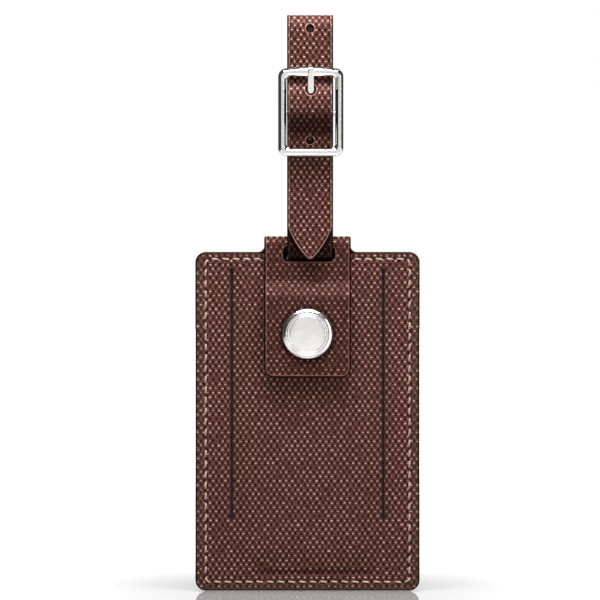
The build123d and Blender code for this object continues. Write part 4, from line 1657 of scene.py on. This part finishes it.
leathers = (
    (front_panel, "tag", "front_panel", panel_skin, layer_skin),
    (back_panel, "tag", "back_panel", panel_skin, layer_skin),
    (spacer, "tag", "pocket_spacer", layer_skin, layer_skin),
    (pocket_frame, "tag", "pocket_frame", panel_skin, layer_skin),
    (strap_leather, "strap", "strap_leather", strap_skin, layer_skin),
)
for piece, body, node, *skins in leathers:
    dress(piece, body, [node], "leather_brown", *skins)
dress(front_lining, "tag", ["front_lining"], "lining_brown", layer_skin, layer_skin)
dress(flap_facing, "flap", ["flap_lining"], "lining_brown", under_skin, under_skin)
dress(strap_lining, "strap", ["strap_lining"], "lining_brown", under_skin, under_skin)
dress(board, "tag", ["stiffener_board"], "board_grey", dark_board, dark_board)
dress(film, "tag", ["clear_window"], "clear_film", film_clear, film_clear)
dress(card, "card", ["address_card"], "card_stock", card_stock, card_stock)
for seam in (front_seam, back_seam):
    dress(seam, "tag", ["perimeter_stitching"], "thread_tan", thread)
dress(pocket_seam, "tag", ["pocket_stitching"], "thread_tan", thread)
for seam in strap_seams:
    dress(seam, "strap", ["strap_stitching"], "thread_tan", thread)
metals = (
    (stud, "tag", "snap_stud", satin), (cap, "flap", "snap_cap", satin),
    (socket, "flap", "snap_socket", satin), (buckle, "buckle", "buckle_frame", chrome),
    (prong, "prong", "buckle_prong", chrome),
)
for piece, body, node, metal in metals:
    dress(piece, body, [node], "nickel", metal)

dress(tab, None, ["back_panel", "snap_flap"], "leather_brown", shaded_flap_skin, under_skin)
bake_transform(tab)


def finish_node(name, material):
    """Put a material on a CAD node that stays."""
    node = frame["nodes"][name]
    node.data.materials.clear()
    node.data.materials.append(material)


for name, metal in (("snap_post", satin), ("socket_spring", steel), ("buckle_bar", chrome)):
    finish_node(name, metal)


# Floor, light and camera --------------------------------------------------------------------


def stage_card(name, centre, size, turn, material, seen=True):
    """Flat card of the stage."""
    mesh = bpy.data.meshes.new(name)
    x, y = size[0] / 2, size[1] / 2
    mesh.from_pydata([(-x, -y, 0), (x, -y, 0), (x, y, 0), (-x, y, 0)], [], [(0, 1, 2, 3)])
    flat = bpy.data.objects.new(name, mesh)
    flat.location, flat.rotation_euler = centre, turn
    flat.data.materials.append(material)
    flat.visible_camera = seen
    bpy.context.scene.collection.objects.link(flat)
    return flat


def stage_paint(name, colour, rough):
    paint = Paint(name)
    paint.set(colour=colour, rough=rough)
    return paint.material


# Glossy floor, dark near the tag and glowing white further out and behind: the glow is painted light,
# and the dark zone round the tag, where it does not glow, is painted shade
ground = Paint("floor_paint")
place = ground.place()
reach = ground.node("ShaderNodeVectorMath", operation="LENGTH")
ground.put(place, reach.inputs[0])
# Painted glow: none within 30 mm of the tag, rising to half strength by 130 mm, and full strength
# behind the tag
near = ground.times(ground.step(reach.outputs["Value"], 30.0, 130.0), 0.5)
far = ground.math("MAXIMUM", near, ground.step(ground.split(place)[1], 150.0, 600.0))
ground.set(colour=(0.26, 0.26, 0.26, 1), rough=0.08)
ground.put((1, 1, 1, 1), ground.shader.inputs["Emission Color"])
ground.put(far, ground.shader.inputs["Emission Strength"])
stage_card("floor", (0, 0, -0.0003), (8, 8), (0, 0, 0), ground.material)

# Black card beside the tag that darkens the metal's left flanks
black = stage_paint("flag_black", (0.01, 0.01, 0.01, 1), 0.9)
quarter = math.pi / 2
stage_card("flag_left", (-0.42, -0.25, 0.16), (0.5, 0.5), (quarter, 0, quarter), black, False)


def area_light(name, spot, target, size, power):
    data = bpy.data.lights.new(name, "AREA")
    data.shape, data.size, data.size_y, data.energy = "RECTANGLE", size[0], size[1], power
    light = bpy.data.objects.new(name, data)
    light.location = spot
    direction = np.array(target) - np.array(spot)
    light.rotation_euler = mathutils.Vector(direction).to_track_quat("-Z", "Y").to_euler()
    bpy.context.scene.collection.objects.link(light)
    return light


# Name, place, target, size in metres and power in watts
lights = (
    ("top", (0.0, -0.28, 0.8), (0, 0, 0.1), (0.6, 0.3), 9.5),
    ("crown", (0.0, -0.12, 0.6), (0, 0, 0.12), (0.5, 0.1), 5.5),
    ("right", (0.55, -0.3, 0.22), (0, 0, 0.08), (0.14, 0.5), 1.8),
    ("left", (-0.55, -0.4, 0.25), (0, 0, 0.08), (0.1, 0.4), 0.7),
)
for light in lights:
    area_light(*light)

# Surroundings: a dim room that glows in front of the tag and behind it, white to the camera
AMBIENT = 0.07
FRONT_GLOW = 1.0
BACK_GLOW = 1.0

world = bpy.data.worlds.new("studio")
world.use_nodes = True
sky = Nodes(world.node_tree)
dome = sky.tree.nodes["Background"]
heading = sky.node("ShaderNodeTexCoord").outputs["Generated"]
front_glow = sky.step(sky.dot(heading, (0, -0.985, 0.174)), 0.945, 0.99, AMBIENT, FRONT_GLOW)
back_glow = sky.step(sky.dot(heading, (0, 1, 0)), 0.93, 0.985, 0.0, BACK_GLOW)
seen = sky.node("ShaderNodeMix")
sky.put(sky.node("ShaderNodeLightPath").outputs["Is Camera Ray"], seen.inputs["Factor"])
sky.put(sky.plus(front_glow, back_glow), seen.inputs[2])
sky.put(1.0, seen.inputs[3])
sky.put(seen.outputs[0], dome.inputs["Strength"])
sky.put((1, 1, 1, 1), dome.inputs["Color"])
bpy.context.scene.world = world
bpy.context.scene.view_settings.view_transform = "Standard"

DISTANCE = 900
ELEVATION = math.radians(0.6)
VIEW_WIDTH = 187.5
SENSOR = 36
aim = np.array([-2.34, 0.0, 90.8])
spot = aim + DISTANCE * np.array([0, -math.cos(ELEVATION), math.sin(ELEVATION)])
camera_data = bpy.data.cameras.new("camera")
camera_data.sensor_width = SENSOR
camera_data.lens = SENSOR * DISTANCE / VIEW_WIDTH
camera_data.clip_start = 0.01
camera = bpy.data.objects.new("camera", camera_data)
camera.location = spot * MM
camera.rotation_euler = (math.pi / 2 - ELEVATION, 0, 0)
bpy.context.scene.collection.objects.link(camera)
bpy.context.scene.camera = camera
